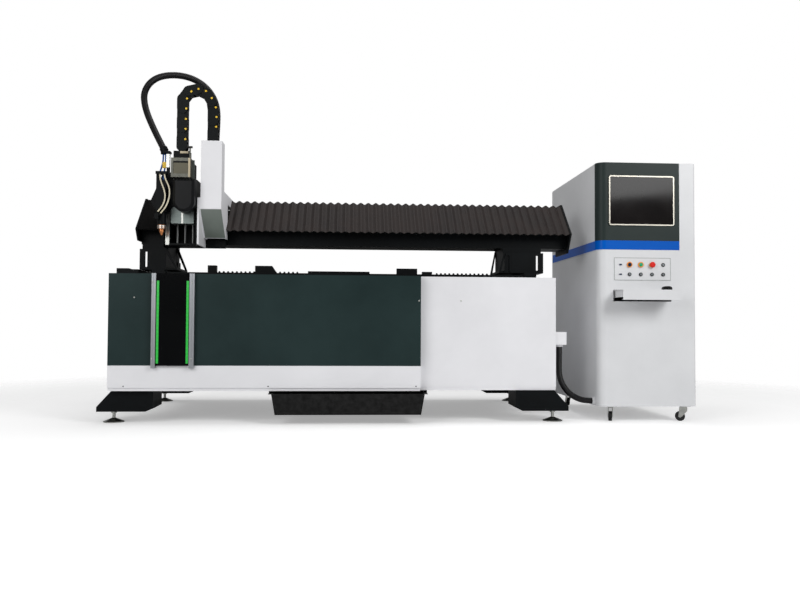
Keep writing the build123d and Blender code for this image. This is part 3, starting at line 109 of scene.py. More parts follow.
# Colour that drifts between two tones, and a fine grain: patch, grain and depth in millimetres
def addSkin(tree, surface, tones, patch, grain, depth, stretch=(1, 1, 1), rough=None):
    where = addNode(tree, "ShaderNodeTexCoord")
    stretched = addNode(tree, "ShaderNodeMapping", {"Scale": stretch}, {"Vector": (where, "Object")})
    drift = addNode(tree, "ShaderNodeTexNoise",
                    {"Scale": perMetre(patch), "Detail": 4.0, "Roughness": 0.6},
                    {"Vector": (stretched, "Vector")})
    ramp = addNode(tree, "ShaderNodeValToRGB", {}, {"Fac": (drift, "Fac")})
    setStops(ramp, [(0.32, tones[0]), (0.68, tones[1])])
    tree.links.new(ramp.outputs["Color"], surface.inputs["Base Color"])
    fine = addNode(tree, "ShaderNodeTexNoise", {"Scale": perMetre(grain), "Detail": 3.0},
                   {"Vector": (stretched, "Vector")})
    bump = addNode(tree, "ShaderNodeBump", {"Strength": 0.6, "Distance": depth / 1000},
                   {"Height": (fine, "Fac")})
    tree.links.new(bump.outputs["Normal"], surface.inputs["Normal"])
    if rough:
        spread = addNode(tree, "ShaderNodeMapRange", {"To Min": rough[0], "To Max": rough[1]},
                         {"Value": (drift, "Fac")})
        tree.links.new(spread.outputs["Result"], surface.inputs["Roughness"])
    return stretched


# Powder coat on steel sheet: smooth with a faint orange peel, soft wide highlights
def powderCoat(name, tones, rough=(0.34, 0.46), peel=3.0, shine=0.5):
    material, tree, surface = newMaterial(name, {"IOR": 1.5, "Specular IOR Level": shine})
    addSkin(tree, surface, tones, patch=420, grain=peel, depth=0.05, rough=rough)
    return material


# Brushed, ground, turned, cast or plated metal: fine lines where it is stretched, soft sheen
def brushedMetal(name, tones, stretch, rough=(0.3, 0.46)):
    material, tree, surface = newMaterial(name, {"Metallic": 1.0})
    addSkin(tree, surface, tones, patch=26, grain=1.6, depth=0.03, stretch=stretch, rough=rough)
    return material


# Moulded ABS and nylon, rubber and polyurethane tube: dull to satin, with a light texture
def mouldedPlastic(name, tones, rough=(0.4, 0.5), grain=1.2, depth=0.03, shine=0.4):
    material, tree, surface = newMaterial(name, {"IOR": 1.46, "Specular IOR Level": shine})
    addSkin(tree, surface, tones, patch=60, grain=grain, depth=depth, rough=rough)
    return material


# Dark mill steel: scale and spatter from the cutting beam on the slats, and painted shade on the tray
# under the bed
def sootAndShadeSteel(name, tones, rough=(0.45, 0.72)):
    material, tree, surface = newMaterial(name, {"Metallic": 0.85})
    addSkin(tree, surface, tones, patch=38, grain=2.2, depth=0.2, rough=rough)
    return material


# Galvanised sheet: crystal spangle about 14 mm across, satin
def galvanised(name):
    material, tree, surface = newMaterial(name, {"Metallic": 0.9})
    where = addNode(tree, "ShaderNodeTexCoord")
    spangle = addNode(tree, "ShaderNodeTexVoronoi", {"Scale": perMetre(14)},
                      {"Vector": (where, "Object")})
    ramp = addNode(tree, "ShaderNodeValToRGB", {}, {"Fac": (spangle, "Color")})
    setStops(ramp, [(0.2, "#5d6062"), (0.8, "#7c8083")])
    tree.links.new(ramp.outputs["Color"], surface.inputs["Base Color"])
    spread = addNode(tree, "ShaderNodeMapRange", {"To Min": 0.36, "To Max": 0.5},
                     {"Value": (spangle, "Distance")})
    tree.links.new(spread.outputs["Result"], surface.inputs["Roughness"])
    bump = addNode(tree, "ShaderNodeBump", {"Strength": 0.3, "Distance": 0.00004},
                   {"Height": (spangle, "Distance")})
    tree.links.new(bump.outputs["Normal"], surface.inputs["Normal"])
    return material


# Coated polyester cloth of the bellows: tight weave near 7 mm, dull brown black with dusty patches
def bellowsCloth(name, tones=("#1e1817", "#2a2220")):
    material, tree, surface = newMaterial(name, {"Sheen Weight": 0.04, "IOR": 1.45,
                                                 "Specular IOR Level": 0.15})
    stretched = addSkin(tree, surface, tones, patch=160, grain=1.2, depth=0.12, rough=(0.5, 0.66))
    weave = addNode(tree, "ShaderNodeTexWave",
                    {"Scale": waveScale(7), "Distortion": 1.0, "bands_direction": "Z"},
                    {"Vector": (stretched, "Vector")})
    bump = addNode(tree, "ShaderNodeBump", {"Strength": 0.25, "Distance": 0.0001},
                   {"Height": (weave, "Fac")})
    tree.links.new(bump.outputs["Normal"], surface.inputs["Normal"])
    return material


# Clear-topped acrylic or glass over black: near mirror, with faint smears
def blackAcrylic(name, tones=("#060708", "#0a0b0c"), shine=0.1):
    material, tree, surface = newMaterial(name, {"IOR": 1.49, "Specular IOR Level": shine})
    addSkin(tree, surface, tones, patch=300, grain=90, depth=0.02, rough=(0.05, 0.12))
    return material


# Lit diffuser: small lamps 8.3 mm apart behind green polycarbonate, almost one line of light
def lampStrip(name):
    material, tree, surface = newMaterial(name, {"Roughness": 0.35, "IOR": 1.58})
    where = addNode(tree, "ShaderNodeTexCoord")
    rows = addNode(tree, "ShaderNodeTexWave", {"Scale": waveScale(8.3), "bands_direction": "Z"},
                   {"Vector": (where, "Object")})
    ramp = addNode(tree, "ShaderNodeValToRGB", {}, {"Fac": (rows, "Fac")})
    setStops(ramp, [(0.1, "#0a6a20"), (0.5, "#18a834")])
    tree.links.new(ramp.outputs["Color"], surface.inputs["Base Color"])
    tree.links.new(ramp.outputs["Color"], surface.inputs["Emission Color"])
    surface.inputs["Emission Strength"].default_value = 0.6
    return material


look = {
    # Painted sheet: even colour with a soft satin highlight
    "panelTeal": powderCoat("teal grey powder coat", ("#1d2c2c", "#233333"), shine=0.14),
    "fascia": powderCoat("dark grey powder coat", ("#252e2d", "#2b3432"), shine=0.14),
    "white": powderCoat("white powder coat", ("#e2e2e5", "#e9e9ec")),
    "cabinetWhite": powderCoat("cabinet white powder coat", ("#d3d4d6", "#dbdcde")),
    "blueBand": powderCoat("blue powder coat", ("#0055b6", "#005bc0"), (0.25, 0.33), shine=0.1),
    "black": powderCoat("black powder coat", ("#080a0b", "#0e1113"), (0.38, 0.52), shine=0.09),
    # Grey for the control plate's thin outline, and painted shade on the carriage cover's white slope
    "greyOutlineAndSlopeShade": powderCoat("grey powder coat", ("#666f68", "#808882")),
    # Metals: from the pale trims to the dark, sooted slats and the tray darkened as painted shade
    "trim": brushedMetal("anodised aluminium", ("#9c9fa3", "#aeb1b5"), (30, 30, 1)),
    "slideMetal": brushedMetal("milled aluminium", ("#6f7876", "#858d8a"), (1, 1, 18), (0.42, 0.56)),
    "bezelMetal": brushedMetal("satin silver beige bezel", ("#a9a59b", "#bab6ab"), (1, 1, 1),
                               (0.34, 0.46)),
    "driveMetal": brushedMetal("sand-cast grey metal", ("#5f605a", "#74746c"), (1, 1, 1),
                               (0.45, 0.6)),
    "steel": brushedMetal("ground steel", ("#5d5e5e", "#747574"), (1, 20, 20), (0.36, 0.5)),
    "zinc": brushedMetal("bright zinc plate", ("#a9aaa6", "#c4c5c0"), (1, 1, 1), (0.22, 0.4)),
    "sooted": sootAndShadeSteel("cutting slat steel", ("#2a2927", "#55514c")),
    # Slag tray under the bed: near black as painted shade
    "trayShade": sootAndShadeSteel("tray steel darkened as painted shade", ("#161616", "#2a2a2a")),
    "spangle": galvanised("galvanised sheet"),
    # Cloth, plastics and rubber: dull blacks, and small bright accents
    "cloth": bellowsCloth("coated bellows cloth"),
    # Left bellows: the same cloth, darker as painted shade in its tight folds
    "shadedCloth": bellowsCloth("shaded bellows cloth", ("#0d0b0b", "#141110")),
    "nylon": mouldedPlastic("black nylon", ("#080b0b", "#0f1314"), (0.36, 0.5), shine=0.12),
    "abs": mouldedPlastic("black ABS", ("#08090a", "#0d0e10"), (0.3, 0.4), shine=0.16),
    "rubber": mouldedPlastic("black rubber", ("#0a0a0b", "#141214"), (0.3, 0.48), 2.0, 0.05, 0.3),
    "tyre": mouldedPlastic("grey wheel rubber", ("#1c1c1d", "#262627"), (0.6, 0.75), 1.5, 0.08, 0.3),
    "cream": mouldedPlastic("cream polyurethane tube", ("#cfc6ac", "#ddd5bd"), (0.25, 0.35)),
    "beige": mouldedPlastic("beige ABS", ("#b9ab8e", "#c6b99d"), (0.4, 0.5)),
    "blueTube": mouldedPlastic("blue polyurethane tube", ("#0d4f9c", "#1765b8"), (0.25, 0.35)),
    "yellow": mouldedPlastic("yellow nylon", ("#e6b81c", "#f2cb3a"), (0.35, 0.45)),
    "orange": mouldedPlastic("orange ABS", ("#ef8a12", "#f79a25"), (0.25, 0.35)),
    "red": mouldedPlastic("red ABS", ("#d51c14", "#e3261b"), (0.22, 0.32)),
    "green": mouldedPlastic("green ABS", ("#0e9a6c", "#14ab79"), (0.22, 0.32)),
    "knobBlue": mouldedPlastic("dark blue ABS", ("#0b1f3c", "#10284a"), (0.25, 0.35)),
    # Glossy black faces, the drive block, the nozzle and the lit strips
    "acrylic": blackAcrylic("black acrylic"),
    "glass": blackAcrylic("screen glass", ("#0e0c0c", "#171414"), 0.16),
    "driveGrey": powderCoat("grey brown powder coat", ("#5a5749", "#66624f"), (0.4, 0.5), shine=0.3),
    "copper": brushedMetal("turned copper", ("#b06f44", "#c98a5c"), (1, 1, 30), (0.2, 0.34)),
    "lamps": lampStrip("green lamp diffuser"),
}
print("materials made:", len(look))

# Which finish each node of the CAD model gets
dressing = {
    "bed_frame": "black", "slats": "sooted", "front_dark_panel": "panelTeal",
    "front_kick_panel": "white", "front_white_panel": "white", "end_and_rear_panels": "white",
    "window_trims": "trim", "window_pane": "acrylic", "light_strips": "lamps",
    "levelling_feet": "zinc", "gantry_rails": "steel", "table_fittings": "black",
    "tray_runners": "black", "junction_box": "white", "conduit": "rubber",
    "cabinet_body": "cabinetWhite", "cabinet_fascia": "fascia", "blue_band": "blueBand",
    "monitor_frame": "bezelMetal", "monitor_screen": "glass", "control_plate": "cabinetWhite",
    "cabinet_gear": "spangle", "rear_forks": "zinc", "slag_tray": "trayShade",
    "gantry_beam": "black", "gantry_legs": "black", "gantry_end_plates": "black",
    "beam_rails": "steel", "left_bellows": "cloth", "right_bellows": "cloth",
    "carriage_plate": "black", "carriage_cover": "white", "head_slide": "black",
    "drag_chain": "nylon", "main_hose": "rubber", "head_plate": "slideMetal",
    "cutting_head": "black", "nozzle": "copper", "drive_housing": "abs",
    "drive_block": "driveMetal", "gas_hoses": "cream", "head_cables": "blueTube",
    "ball_screw": "steel", "selector_switch": "knobBlue", "start_button": "green",
    "stop_button": "red", "mouse_shelf": "cabinetWhite", "mouse": "abs",
    "rear_door": "cabinetWhite", "front_left_fork": "zinc", "front_right_fork": "zinc",
}
for name, node in nodes.items():
    finish = dressing.get(name, "white")
    if name.endswith("wheel"):
        finish = "tyre"
    elif name.startswith("small_button"):
        finish = "spangle"
    node.data.materials.clear()
    node.data.materials.append(look[finish])
print("nodes dressed")


# Mesh helpers
def addBlock(mesh, low, high):
    corners = [mesh.verts.new(place(x, y, z)) for x in (low[0], high[0]) for y in (low[1], high[1])
               for z in (low[2], high[2])]
    for face in ((0, 1, 3, 2), (4, 6, 7, 5), (0, 4, 5, 1), (2, 3, 7, 6), (0, 2, 6, 4), (1, 5, 7, 3)):
        mesh.faces.new([corners[i] for i in face])


# Skin over rings of points, closed at both ends
def skinRings(mesh, rings):
    for lower, upper in zip(rings, rings[1:]):
        for k in range(len(lower)):
            after = (k + 1) % len(lower)
            mesh.faces.new([lower[k], lower[after], upper[after], upper[k]])
    mesh.faces.new(list(reversed(rings[0])))
    mesh.faces.new(rings[-1])


# A turned form: profile is (distance along the axis, radius) pairs
def addTurned(mesh, start, axis, profile, sides):
    along = Vector(axis).normalized()
    across = along.orthogonal().normalized()
    third = along.cross(across)
    origin = Vector(start)
    rings = []
    for distance, radius in profile:
        ring = []
        for k in range(sides):
            turn = 2 * math.pi * k / sides
            outwards = across * math.cos(turn) + third * math.sin(turn)
            ring.append(mesh.verts.new(place(*(origin + along * distance + outwards * radius))))
        rings.append(ring)
    skinRings(mesh, rings)


# A flat outline (x, z) given thickness from y to y + depth
def addPlate(mesh, outline, y, depth):
    nearSide = [mesh.verts.new(place(x, y, z)) for x, z in outline]
    farSide = [mesh.verts.new(place(x, y + depth, z)) for x, z in outline]
    mesh.faces.new(nearSide)
    mesh.faces.new(list(reversed(farSide)))
    for k in range(len(outline)):
        after = (k + 1) % len(outline)
        mesh.faces.new([nearSide[k], farSide[k], farSide[after], nearSide[after]])


# A ring that faces the operator and stands out from its spot by height
def addRing(mesh, spot, outer, inner, height, sides=32):
    loops = []
    for radius, y in ((outer, spot[1]), (outer, spot[1] - height), (inner, spot[1] - height),
                      (inner, spot[1])):
        loops.append([mesh.verts.new(place(spot[0] + radius * math.cos(2 * math.pi * k / sides), y,
                                           spot[2] + radius * math.sin(2 * math.pi * k / sides)))
                      for k in range(sides)])
    for a, b in zip(loops, loops[1:] + loops[:1]):
        for k in range(sides):
            mesh.faces.new([a[k], a[(k + 1) % sides], b[(k + 1) % sides], b[k]])


# Edges sharper than the first angle look sharp, and those past the second may be rounded
edgeAngles = {"sharp": 32, "rounded": 35}


# A mesh becomes a piece with its finish, edge, body and the nodes that it stands for
def makePiece(mesh, name, body, finish, edge=0.0, stands=()):
    bmesh.ops.recalc_face_normals(mesh, faces=mesh.faces)
    for face in mesh.faces:
        face.smooth = True
    sharp = math.radians(edgeAngles["sharp"])
    for meshEdge in mesh.edges:
        if len(meshEdge.link_faces) == 2 and meshEdge.calc_face_angle(0) > sharp:
            meshEdge.smooth = False
    data = bpy.data.meshes.new(name)
    mesh.to_mesh(data)
    mesh.free()
    piece = bpy.data.objects.new(name, data)
    bpy.context.scene.collection.objects.link(piece)
    data.materials.append(look[finish])
    if edge:
        rounding = piece.modifiers.new("edge", "BEVEL")
        rounding.width = edge / 1000
        rounding.segments = 2
        rounding.limit_method = "ANGLE"
        rounding.angle_limit = math.radians(edgeAngles["rounded"])
    if body:
        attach(piece, body)
    if stands:
        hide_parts(*stands)
    return piece


# Button head from the panel outwards, as shares of its radius: distance and radius
screwProfile = [(0, 1), (0.45, 0.92), (0.62, 0.6), (0.62, 0.42), (0.2, 0.4)]


# Screw heads with a recess for the key, all of one panel as one piece
def makeScrews(name, settings):
    radius = settings["radius"]
    profile = [(radius * height, radius * width) for height, width in screwProfile]
    mesh = bmesh.new()
    for spot in settings["spots"]:
        addTurned(mesh, spot, (0, -1, 0), profile, sides=14)
    makePiece(mesh, name, "machine", settings["finish"])


# Camera, where the photograph was taken from: metres, radians, pixels and a sensor in mm
camera = {"spot": (-0.355, -5.8038, 0.6299), "yaw": 0.0648, "pitch": 0.0324, "roll": 0.0051,
          "focalPixels": 786.1, "pictureWidth": 800, "sensor": 36}


def makeCamera():
    yaw, pitch, roll = camera["yaw"], camera["pitch"], camera["roll"]
    forward = Vector((math.sin(yaw) * math.cos(pitch), math.cos(yaw) * math.cos(pitch),
                      math.sin(pitch)))
    right = Vector((math.cos(yaw), -math.sin(yaw), 0))
    up = right.cross(forward)
    turnedRight = right * math.cos(roll) + up * math.sin(roll)
    turnedUp = up * math.cos(roll) - right * math.sin(roll)
    lens = bpy.data.cameras.new("camera")
    lens.sensor_width = camera["sensor"]
    lens.lens = camera["focalPixels"] / camera["pictureWidth"] * camera["sensor"]
    eye = bpy.data.objects.new("camera", lens)
    eye.matrix_world = Matrix([
        (turnedRight.x, turnedUp.x, -forward.x, camera["spot"][0]),
        (turnedRight.y, turnedUp.y, -forward.y, camera["spot"][1]),
        (turnedRight.z, turnedUp.z, -forward.z, camera["spot"][2]),
        (0, 0, 0, 1),
    ])
    bpy.context.scene.collection.objects.link(eye)
    bpy.context.scene.camera = eye


makeCamera()
print("camera set")

# Hoses and cables, on the routes of the CAD model
hose = {
    "radius": 21, "ribPitch": 9.0, "ribDepth": 1.6,
    "points": [
        (320, 20, 1752), (283, 23.5, 1822), (242, 28, 1907), (213, 33, 1974), (194, 37, 2039),
        (188.5, 41, 2101), (209.8, 46, 2159.5), (253, 51, 2204), (311, 56, 2227.7), (378, 62, 2236),
        (445, 68, 2230), (505, 74, 2211), (560, 80, 2178), (604, 86, 2131), (634, 92, 2073),
        (646, 97, 2005), (644, 101, 1930), (640, 104, 1850), (637, 106, 1768), (636, 107.5, 1686),
        (638, 108, 1610), (640, 108, 1545), (640, 108, 1499.2),
    ],
}
conduit = {
    "radius": 20, "ribPitch": 8.0, "ribDepth": 1.4,
    "points": [
        (2907.3, 130, 493.8), (2907.3, 130, 440), (2905.8, 131, 372), (2907.3, 133, 314.6),
        (2921.5, 136, 261.7), (2948.9, 139, 214.3), (2987.6, 142, 175.6), (3035, 144, 148.2),
        (3088, 145, 134), (3132.8, 145, 134),
    ],
}
gasTubes = {
    "radius": 4.5,
    "routes": [
        [(330, -97, 1562.8), (330, -97, 1546), (334.5, -97, 1522), (345, -98, 1495), (357, -99, 1466),
         (364, -100, 1434), (362.5, -100, 1402), (353, -99.5, 1375), (337, -98, 1348),
         (320, -98, 1328)],
        [(358, -97, 1562.8), (358.5, -97, 1546), (368, -97, 1522), (381, -98, 1497), (390, -99, 1468),
         (391, -100, 1436), (386.5, -100, 1404), (375, -99.5, 1372), (358, -98, 1343),
         (337, -98, 1318)],
    ],
}
headCables = {
    "radius": 5,
    "routes": [
        [(322, 19, 1711.8), (322, 19, 1686), (321, 13, 1658), (318.5, 1, 1632), (315.5, -14, 1607),
         (313.5, -27, 1590), (312.7, -38, 1571), (312.5, -45, 1551), (312.5, -45, 1530.2)],
        [(337.5, 19, 1711.8), (337.5, 19, 1686), (338, 13, 1658), (338.5, 1, 1632), (339, -14, 1607),
         (339, -27, 1590), (338.7, -38, 1571), (338.5, -45, 1551), (338.5, -45, 1530.2)],
    ],
}


def routeCurve(name, points, radius):
    data = bpy.data.curves.new(name, "CURVE")
    data.dimensions = "3D"
    data.resolution_u = 10
    line = data.splines.new("NURBS")
    line.points.add(len(points) - 1)
    for knot, point in zip(line.points, points):
        knot.co = (*place(*point), 1)
    line.order_u = 3
    line.use_endpoint_u = True
    data.bevel_depth = radius / 1000
    data.bevel_resolution = 5
    data.use_fill_caps = True
    piece = bpy.data.objects.new(name, data)
    bpy.context.scene.collection.objects.link(piece)
    return piece


# Points along a route's smooth line, read from the curve without its thickness
def readRoute(points):
    bare = routeCurve("route", points, 0)
    bpy.context.view_layer.update()
    data = bpy.data.meshes.new_from_object(bare)
    spots = [vertex.co.copy() for vertex in data.vertices]
    bpy.data.meshes.remove(data)
    bpy.data.objects.remove(bare)
    return spots


# Points a step apart along a line, and its end unless a short leftover would crowd it
def evenSteps(spots, step):
    steps = [spots[0]]
    left = step
    for before, after in zip(spots, spots[1:]):
        run = (after - before).length
        done = 0.0
        while run - done >= left:
            done += left
            steps.append(before.lerp(after, done / run))
            left = step
        left -= run - done
    if (steps[-1] - spots[-1]).length > step * 0.3:
        steps.append(spots[-1])
    return steps


# How far a hose narrows in the steps of one rib, as shares of the rib's depth
ribShape = (0, 0.5, 1, 0.5)


# Corrugated hose: rings that swell and narrow at each rib
def ribbedHose(settings, sides=20):
    spots = readRoute(settings["points"])
    steps = evenSteps(spots, settings["ribPitch"] / (1000 * len(ribShape)))
    mesh = bmesh.new()
    side = None
    rings = []
    for k, spot in enumerate(steps):
        ahead = (steps[min(k + 1, len(steps) - 1)] - steps[max(k - 1, 0)]).normalized()
        side = ahead.orthogonal() if side is None else side - ahead * side.dot(ahead)
        side.normalize()
        third = ahead.cross(side)
        dip = ribShape[k % len(ribShape)] * settings["ribDepth"]
        radius = (settings["radius"] - dip) / 1000
        rings.append([mesh.verts.new(spot + (side * math.cos(2 * math.pi * j / sides)
                                             + third * math.sin(2 * math.pi * j / sides)) * radius)
                      for j in range(sides)])
    skinRings(mesh, rings)
    return mesh, spots


def makeHoses():
    mesh, spots = ribbedHose(hose)
    mainHose = makePiece(mesh, "mainHose", None, "rubber", 0, ("main_hose",))
    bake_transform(mainHose)
    mesh, spots = ribbedHose(conduit)
    lead = makePiece(mesh, "cabinetConduit", "machine", "rubber", 0, ("conduit",))
    groups = (("gasTube", gasTubes, "gas_hoses", "cream", "cream_tube"),
              ("headCable", headCables, "head_cables", "blueTube", "blue_tube"))
    for title, group, node, finish, slot in groups:
        for number, points in enumerate(group["routes"], start=1):
            tube = routeCurve(f"{title}{number}", points, group["radius"])
            tube.data.materials.append(look[finish])
            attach(tube, "head")
            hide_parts(node)
            line = readRoute(points)


makeHoses()
print("hoses and cables made")

# Bellows: welded pleats with a flat ridge, mitred round the beam; each side from, to and pleats
bellows = {
    "ridgeLine": [(149, 1250), (390, 1478), (518, 1478), (518, 1200)],
    "depth": 12, "ridgeFlat": 0.16, "ridgeRound": 0.6, "cloth": 0.9, "clothShare": 0.16,
    # The left side's darker cloth is painted shade
    "finish": {"left": "shadedCloth", "right": "cloth"},
    "left": (132.3, 299.7, 28), "right": (701.3, 2987.7, 44),
}


# A line moved inwards by the same distance from each of its stretches
def insetLine(points, inset):
    line = []
    for k, point in enumerate(points):
        normals = []
        for a, b in ((k - 1, k), (k, k + 1)):
            if a >= 0 and b < len(points):
                run = math.dist(points[a], points[b])
                normals.append(((points[b][1] - points[a][1]) / run,
                                -(points[b][0] - points[a][0]) / run))
        total = (sum(n[0] for n in normals), sum(n[1] for n in normals))
        scale = len(normals) / (total[0] ** 2 + total[1] ** 2)
        line.append((point[0] + total[0] * scale * inset, point[1] + total[1] * scale * inset))
    return line


def makeBellows(name, side, node):
    start, end, pleats = bellows[side]
    pitch = (end - start) / pleats
    flat = pitch * bellows["ridgeFlat"]
    thickness = min(bellows["cloth"], pitch * bellows["clothShare"])
    low, high = bellows["ridgeRound"], bellows["depth"]
    rows = []
    for k in range(pleats):
        left = start + pitch * k
        rows += [(left, low), (left + flat / 2, 0), (left + pitch / 2 - flat / 2, high - low),
                 (left + pitch / 2, high), (left + pitch / 2 + flat / 2, high - low),
                 (left + pitch - flat / 2, 0)]
    rows.append((end, low))
    mesh = bmesh.new()
    sheets = []
    for lift in (0, thickness):
        grid = []
        for x, depth in rows:
            outline = insetLine(bellows["ridgeLine"], depth + lift)
            grid.append([mesh.verts.new(place(x, y, z)) for y, z in outline])
        for a, b in zip(grid, grid[1:]):
            for j in range(len(a) - 1):
                mesh.faces.new([a[j], a[j + 1], b[j + 1], b[j]])
        sheets.append(grid)
    outer, inner = sheets
    for k in range(len(rows) - 1):
        for j in (0, -1):
            mesh.faces.new([outer[k][j], outer[k + 1][j], inner[k + 1][j], inner[k][j]])
    for k in (0, -1):
        for j in range(len(outer[k]) - 1):
            mesh.faces.new([outer[k][j], outer[k][j + 1], inner[k][j + 1], inner[k][j]])
    return makePiece(mesh, name, None, bellows["finish"][side], 0, (node,))


leftBellows = makeBellows("leftBellowsCloth", "left", "left_bellows")
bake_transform(leftBellows)
rightBellows = makeBellows("rightBellowsCloth", "right", "right_bellows")
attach(rightBellows, "gantry")
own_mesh(rightBellows)
print("bellows made")

# Drag chain: overlapping side plates, cross bars and yellow pin caps
chain = {
    "pitch": 62, "left": 445, "right": 637, "middle": 5, "start": 1749.5,
    "turns": [0] * 5 + [36, 76, 116, 150, 172] + [180] * 5,
    "half": 33, "plate": 6, "outerFace": 30, "innerFace": 23.6, "capRadius": 6.5,
    "endTip": 24, "rungStarts": (8, 34), "rungWidth": 16, "rungDepth": 4,
    "capHeights": (1.6, 2.4), "capTop": 0.7, "capSunk": 1,
    "caps": [(467, 1801), (468, 1866), (469, 1930), (470, 1996), (474, 2060), (501, 2106), (545, 2124),
             (592, 2111), (629, 2067), (655, 2008), (660, 1946), (659, 1884)],
}


# Pins from the head up, over the bend and down to the carriage
def chainPins():
    pins = [(chain["left"], chain["start"])]
    for turn in chain["turns"]:
        angle = math.radians(turn)
        pins.append((pins[-1][0] + chain["pitch"] * math.sin(angle),
                     pins[-1][1] + chain["pitch"] * math.cos(angle)))
    return pins


# From distances along and across a link to places on the bed
def onLink(start, end, spots):
    ux, uz = (end[0] - start[0]) / chain["pitch"], (end[1] - start[1]) / chain["pitch"]
    return [(start[0] + ux * a + uz * c, start[1] + uz * a - ux * c) for a, c in spots]


# Outline of one side plate, with a round end at each pin
def linkOutline(start, end, tips, steps=8):
    half = chain["half"]
    spots = []
    for step in range(steps + 1):
        turn = -math.pi / 2 + math.pi * step / steps
        spots.append((chain["pitch"] + tips[1] * math.cos(turn), half * math.sin(turn)))
    for step in range(steps + 1):
        turn = math.pi / 2 + math.pi * step / steps
        spots.append((tips[0] * math.cos(turn), half * math.sin(turn)))
    return onLink(start, end, spots)


def makeChain():
    pins = chainPins()
    plates, caps = bmesh.new(), bmesh.new()
    for k, (start, end) in enumerate(zip(pins, pins[1:])):
        face = chain["outerFace"] if k % 2 == 0 else chain["innerFace"]
        tips = (chain["endTip"] if k == 0 else chain["half"],
                chain["endTip"] if k == len(pins) - 2 else chain["half"])
        outline = linkOutline(start, end, tips)
        for y in (chain["middle"] - face, chain["middle"] + face - chain["plate"]):
            addPlate(plates, outline, y, chain["plate"])
        barFace = face - chain["plate"]
        width, depth = chain["rungWidth"], chain["rungDepth"]
        for across in (-chain["half"], chain["half"] - depth):
            for along in chain["rungStarts"]:
                rung = [(along, across), (along + width, across), (along + width, across + depth),
                        (along, across + depth)]
                addPlate(plates, onLink(start, end, rung), chain["middle"] - barFace, 2 * barFace)
    radius = chain["capRadius"]
    rim, top = chain["capHeights"]
    face = chain["middle"] - chain["outerFace"] + chain["capSunk"]
    for x, z in chain["caps"]:
        addTurned(caps, (x, face, z), (0, -1, 0),
                  [(0, radius), (rim, radius), (top, radius * chain["capTop"])], sides=16)
    body = makePiece(plates, "chainLinks", None, "nylon", 0.6, ("drag_chain",))
    pinCaps = makePiece(caps, "chainPinCaps", None, "yellow")
    for piece in (body, pinCaps):
        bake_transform(piece)


makeChain()
print("chain made")

# Cutting head: nozzle ring in steps of height and inset, ground rods, slide edge, drive block
# faces and connectors
head = {
    "nozzle": (336, -55), "ringFoot": 1225, "ringRadius": 28,
    "ringSteps": [(0.4, 3), (2, 0), (8, 0), (9, 1.6), (11, 1.6), (12, 0), (21, 0), (23.6, 2)],
    "rods": [409, 507], "rodDepth": 60, "rodRadius": 8.15, "rodSpan": (1144.5, 1537.5),
    "wall": (344.4, 368.6, 9.4), "wallSpan": (1133, 1549), "wallSkin": 0.7,
    "blocks": [
        {"name": "driveFace", "corners": ((405.5, -72, 1572.5), (496.5, -69.1, 1641)),
         "finish": "driveGrey", "slot": "aluminium", "edge": 0.5},
        # A thin black block where the drive block has a shaded recess at its top: painted shade
        {"name": "driveRecessShade", "corners": ((405.5, -74.4, 1641.2), (496.5, -69.1, 1651.5)),
         "finish": "abs", "slot": "black_plastic", "edge": 0.5},
        {"name": "driveSideCover", "corners": ((497.5, -75.9, 1551), (510.5, -75.05, 1671)),
         "finish": "beige", "slot": "aluminium", "edge": 0.2},
        {"name": "chainFootStrip", "corners": ((437, -31.2, 1709), (488, -30.2, 1723)),
         "finish": "beige", "slot": "black_paint", "edge": 0.3},
        {"name": "socketConnector", "corners": ((351, -29.8, 1618), (373, -18.5, 1704)),
         "finish": "zinc", "slot": "black_paint", "edge": 1.2},
        {"name": "valveConnector", "corners": ((328, -29, 1615), (351.2, -19.5, 1652)),
         "finish": "yellow", "slot": "black_paint", "edge": 1.0},
        {"name": "handleBar", "corners": ((488.7, -61.3, 1737.7), (519.3, -48.7, 1749.3)),
         "finish": "abs", "slot": "black_plastic", "edge": 1.5},
        {"name": "plateStrip", "corners": ((445, -6.7, 1268.5), (457, -6.05, 1372)),
         "finish": "zinc", "slot": "aluminium", "edge": 0.2},
    ],
}


def makeNozzleRing():
    x, y = head["nozzle"]
    profile = [(height, head["ringRadius"] - inset) for height, inset in head["ringSteps"]]
    ring = bmesh.new()
    addTurned(ring, (x, y, head["ringFoot"]), (0, 0, 1), profile, sides=36)
    makePiece(ring, "nozzleRing", "head", "zinc", 0.3)


def makeGroundRods():
    sleeves = bmesh.new()
    low, high = head["rodSpan"]
    for rod in head["rods"]:
        addTurned(sleeves, (rod, head["rodDepth"], low), (0, 0, 1),
                  [(0, head["rodRadius"]), (high - low, head["rodRadius"])], sides=24)
    makePiece(sleeves, "groundRods", "carriage", "steel")


def makeSlideEdge():
    facing = bmesh.new()
    left, right, face = head["wall"]
    low, high = head["wallSpan"]
    addBlock(facing, (left, face, low), (right, face + head["wallSkin"], high))
    makePiece(facing, "slideEdge", "carriage", "zinc", 0.3)


def makeHeadBlocks():
    for block in head["blocks"]:
        mesh = bmesh.new()
        addBlock(mesh, *block["corners"])
        makePiece(mesh, block["name"], "head", block["finish"], block["edge"])


makeNozzleRing()
makeGroundRods()
makeSlideEdge()
makeHeadBlocks()
print("head dressed")

# Drive housing: cooling fins along the top edge
fins = {"left": 426, "step": 19.5, "count": 6, "width": 7, "y": (-124, -34), "z": (1534.2, 1541)}


def makeFins():
    mesh = bmesh.new()
    for k in range(fins["count"]):
        x = fins["left"] + fins["step"] * k
        addBlock(mesh, (x, fins["y"][0], fins["z"][0]), (x + fins["width"], fins["y"][1], fins["z"][1]))
    makePiece(mesh, "housingFins", "head", "abs", 1.5)


makeFins()

# Mouse: low rounded shell in place of the model's plain one
mouse = {"spot": (3567, -62, 868.4), "half": (30.5, 53.5), "height": 25.6, "rings": 7, "sides": 40,
         "taper": 0.72, "taperPower": 2.6, "footSize": 0.93, "footRate": 5}


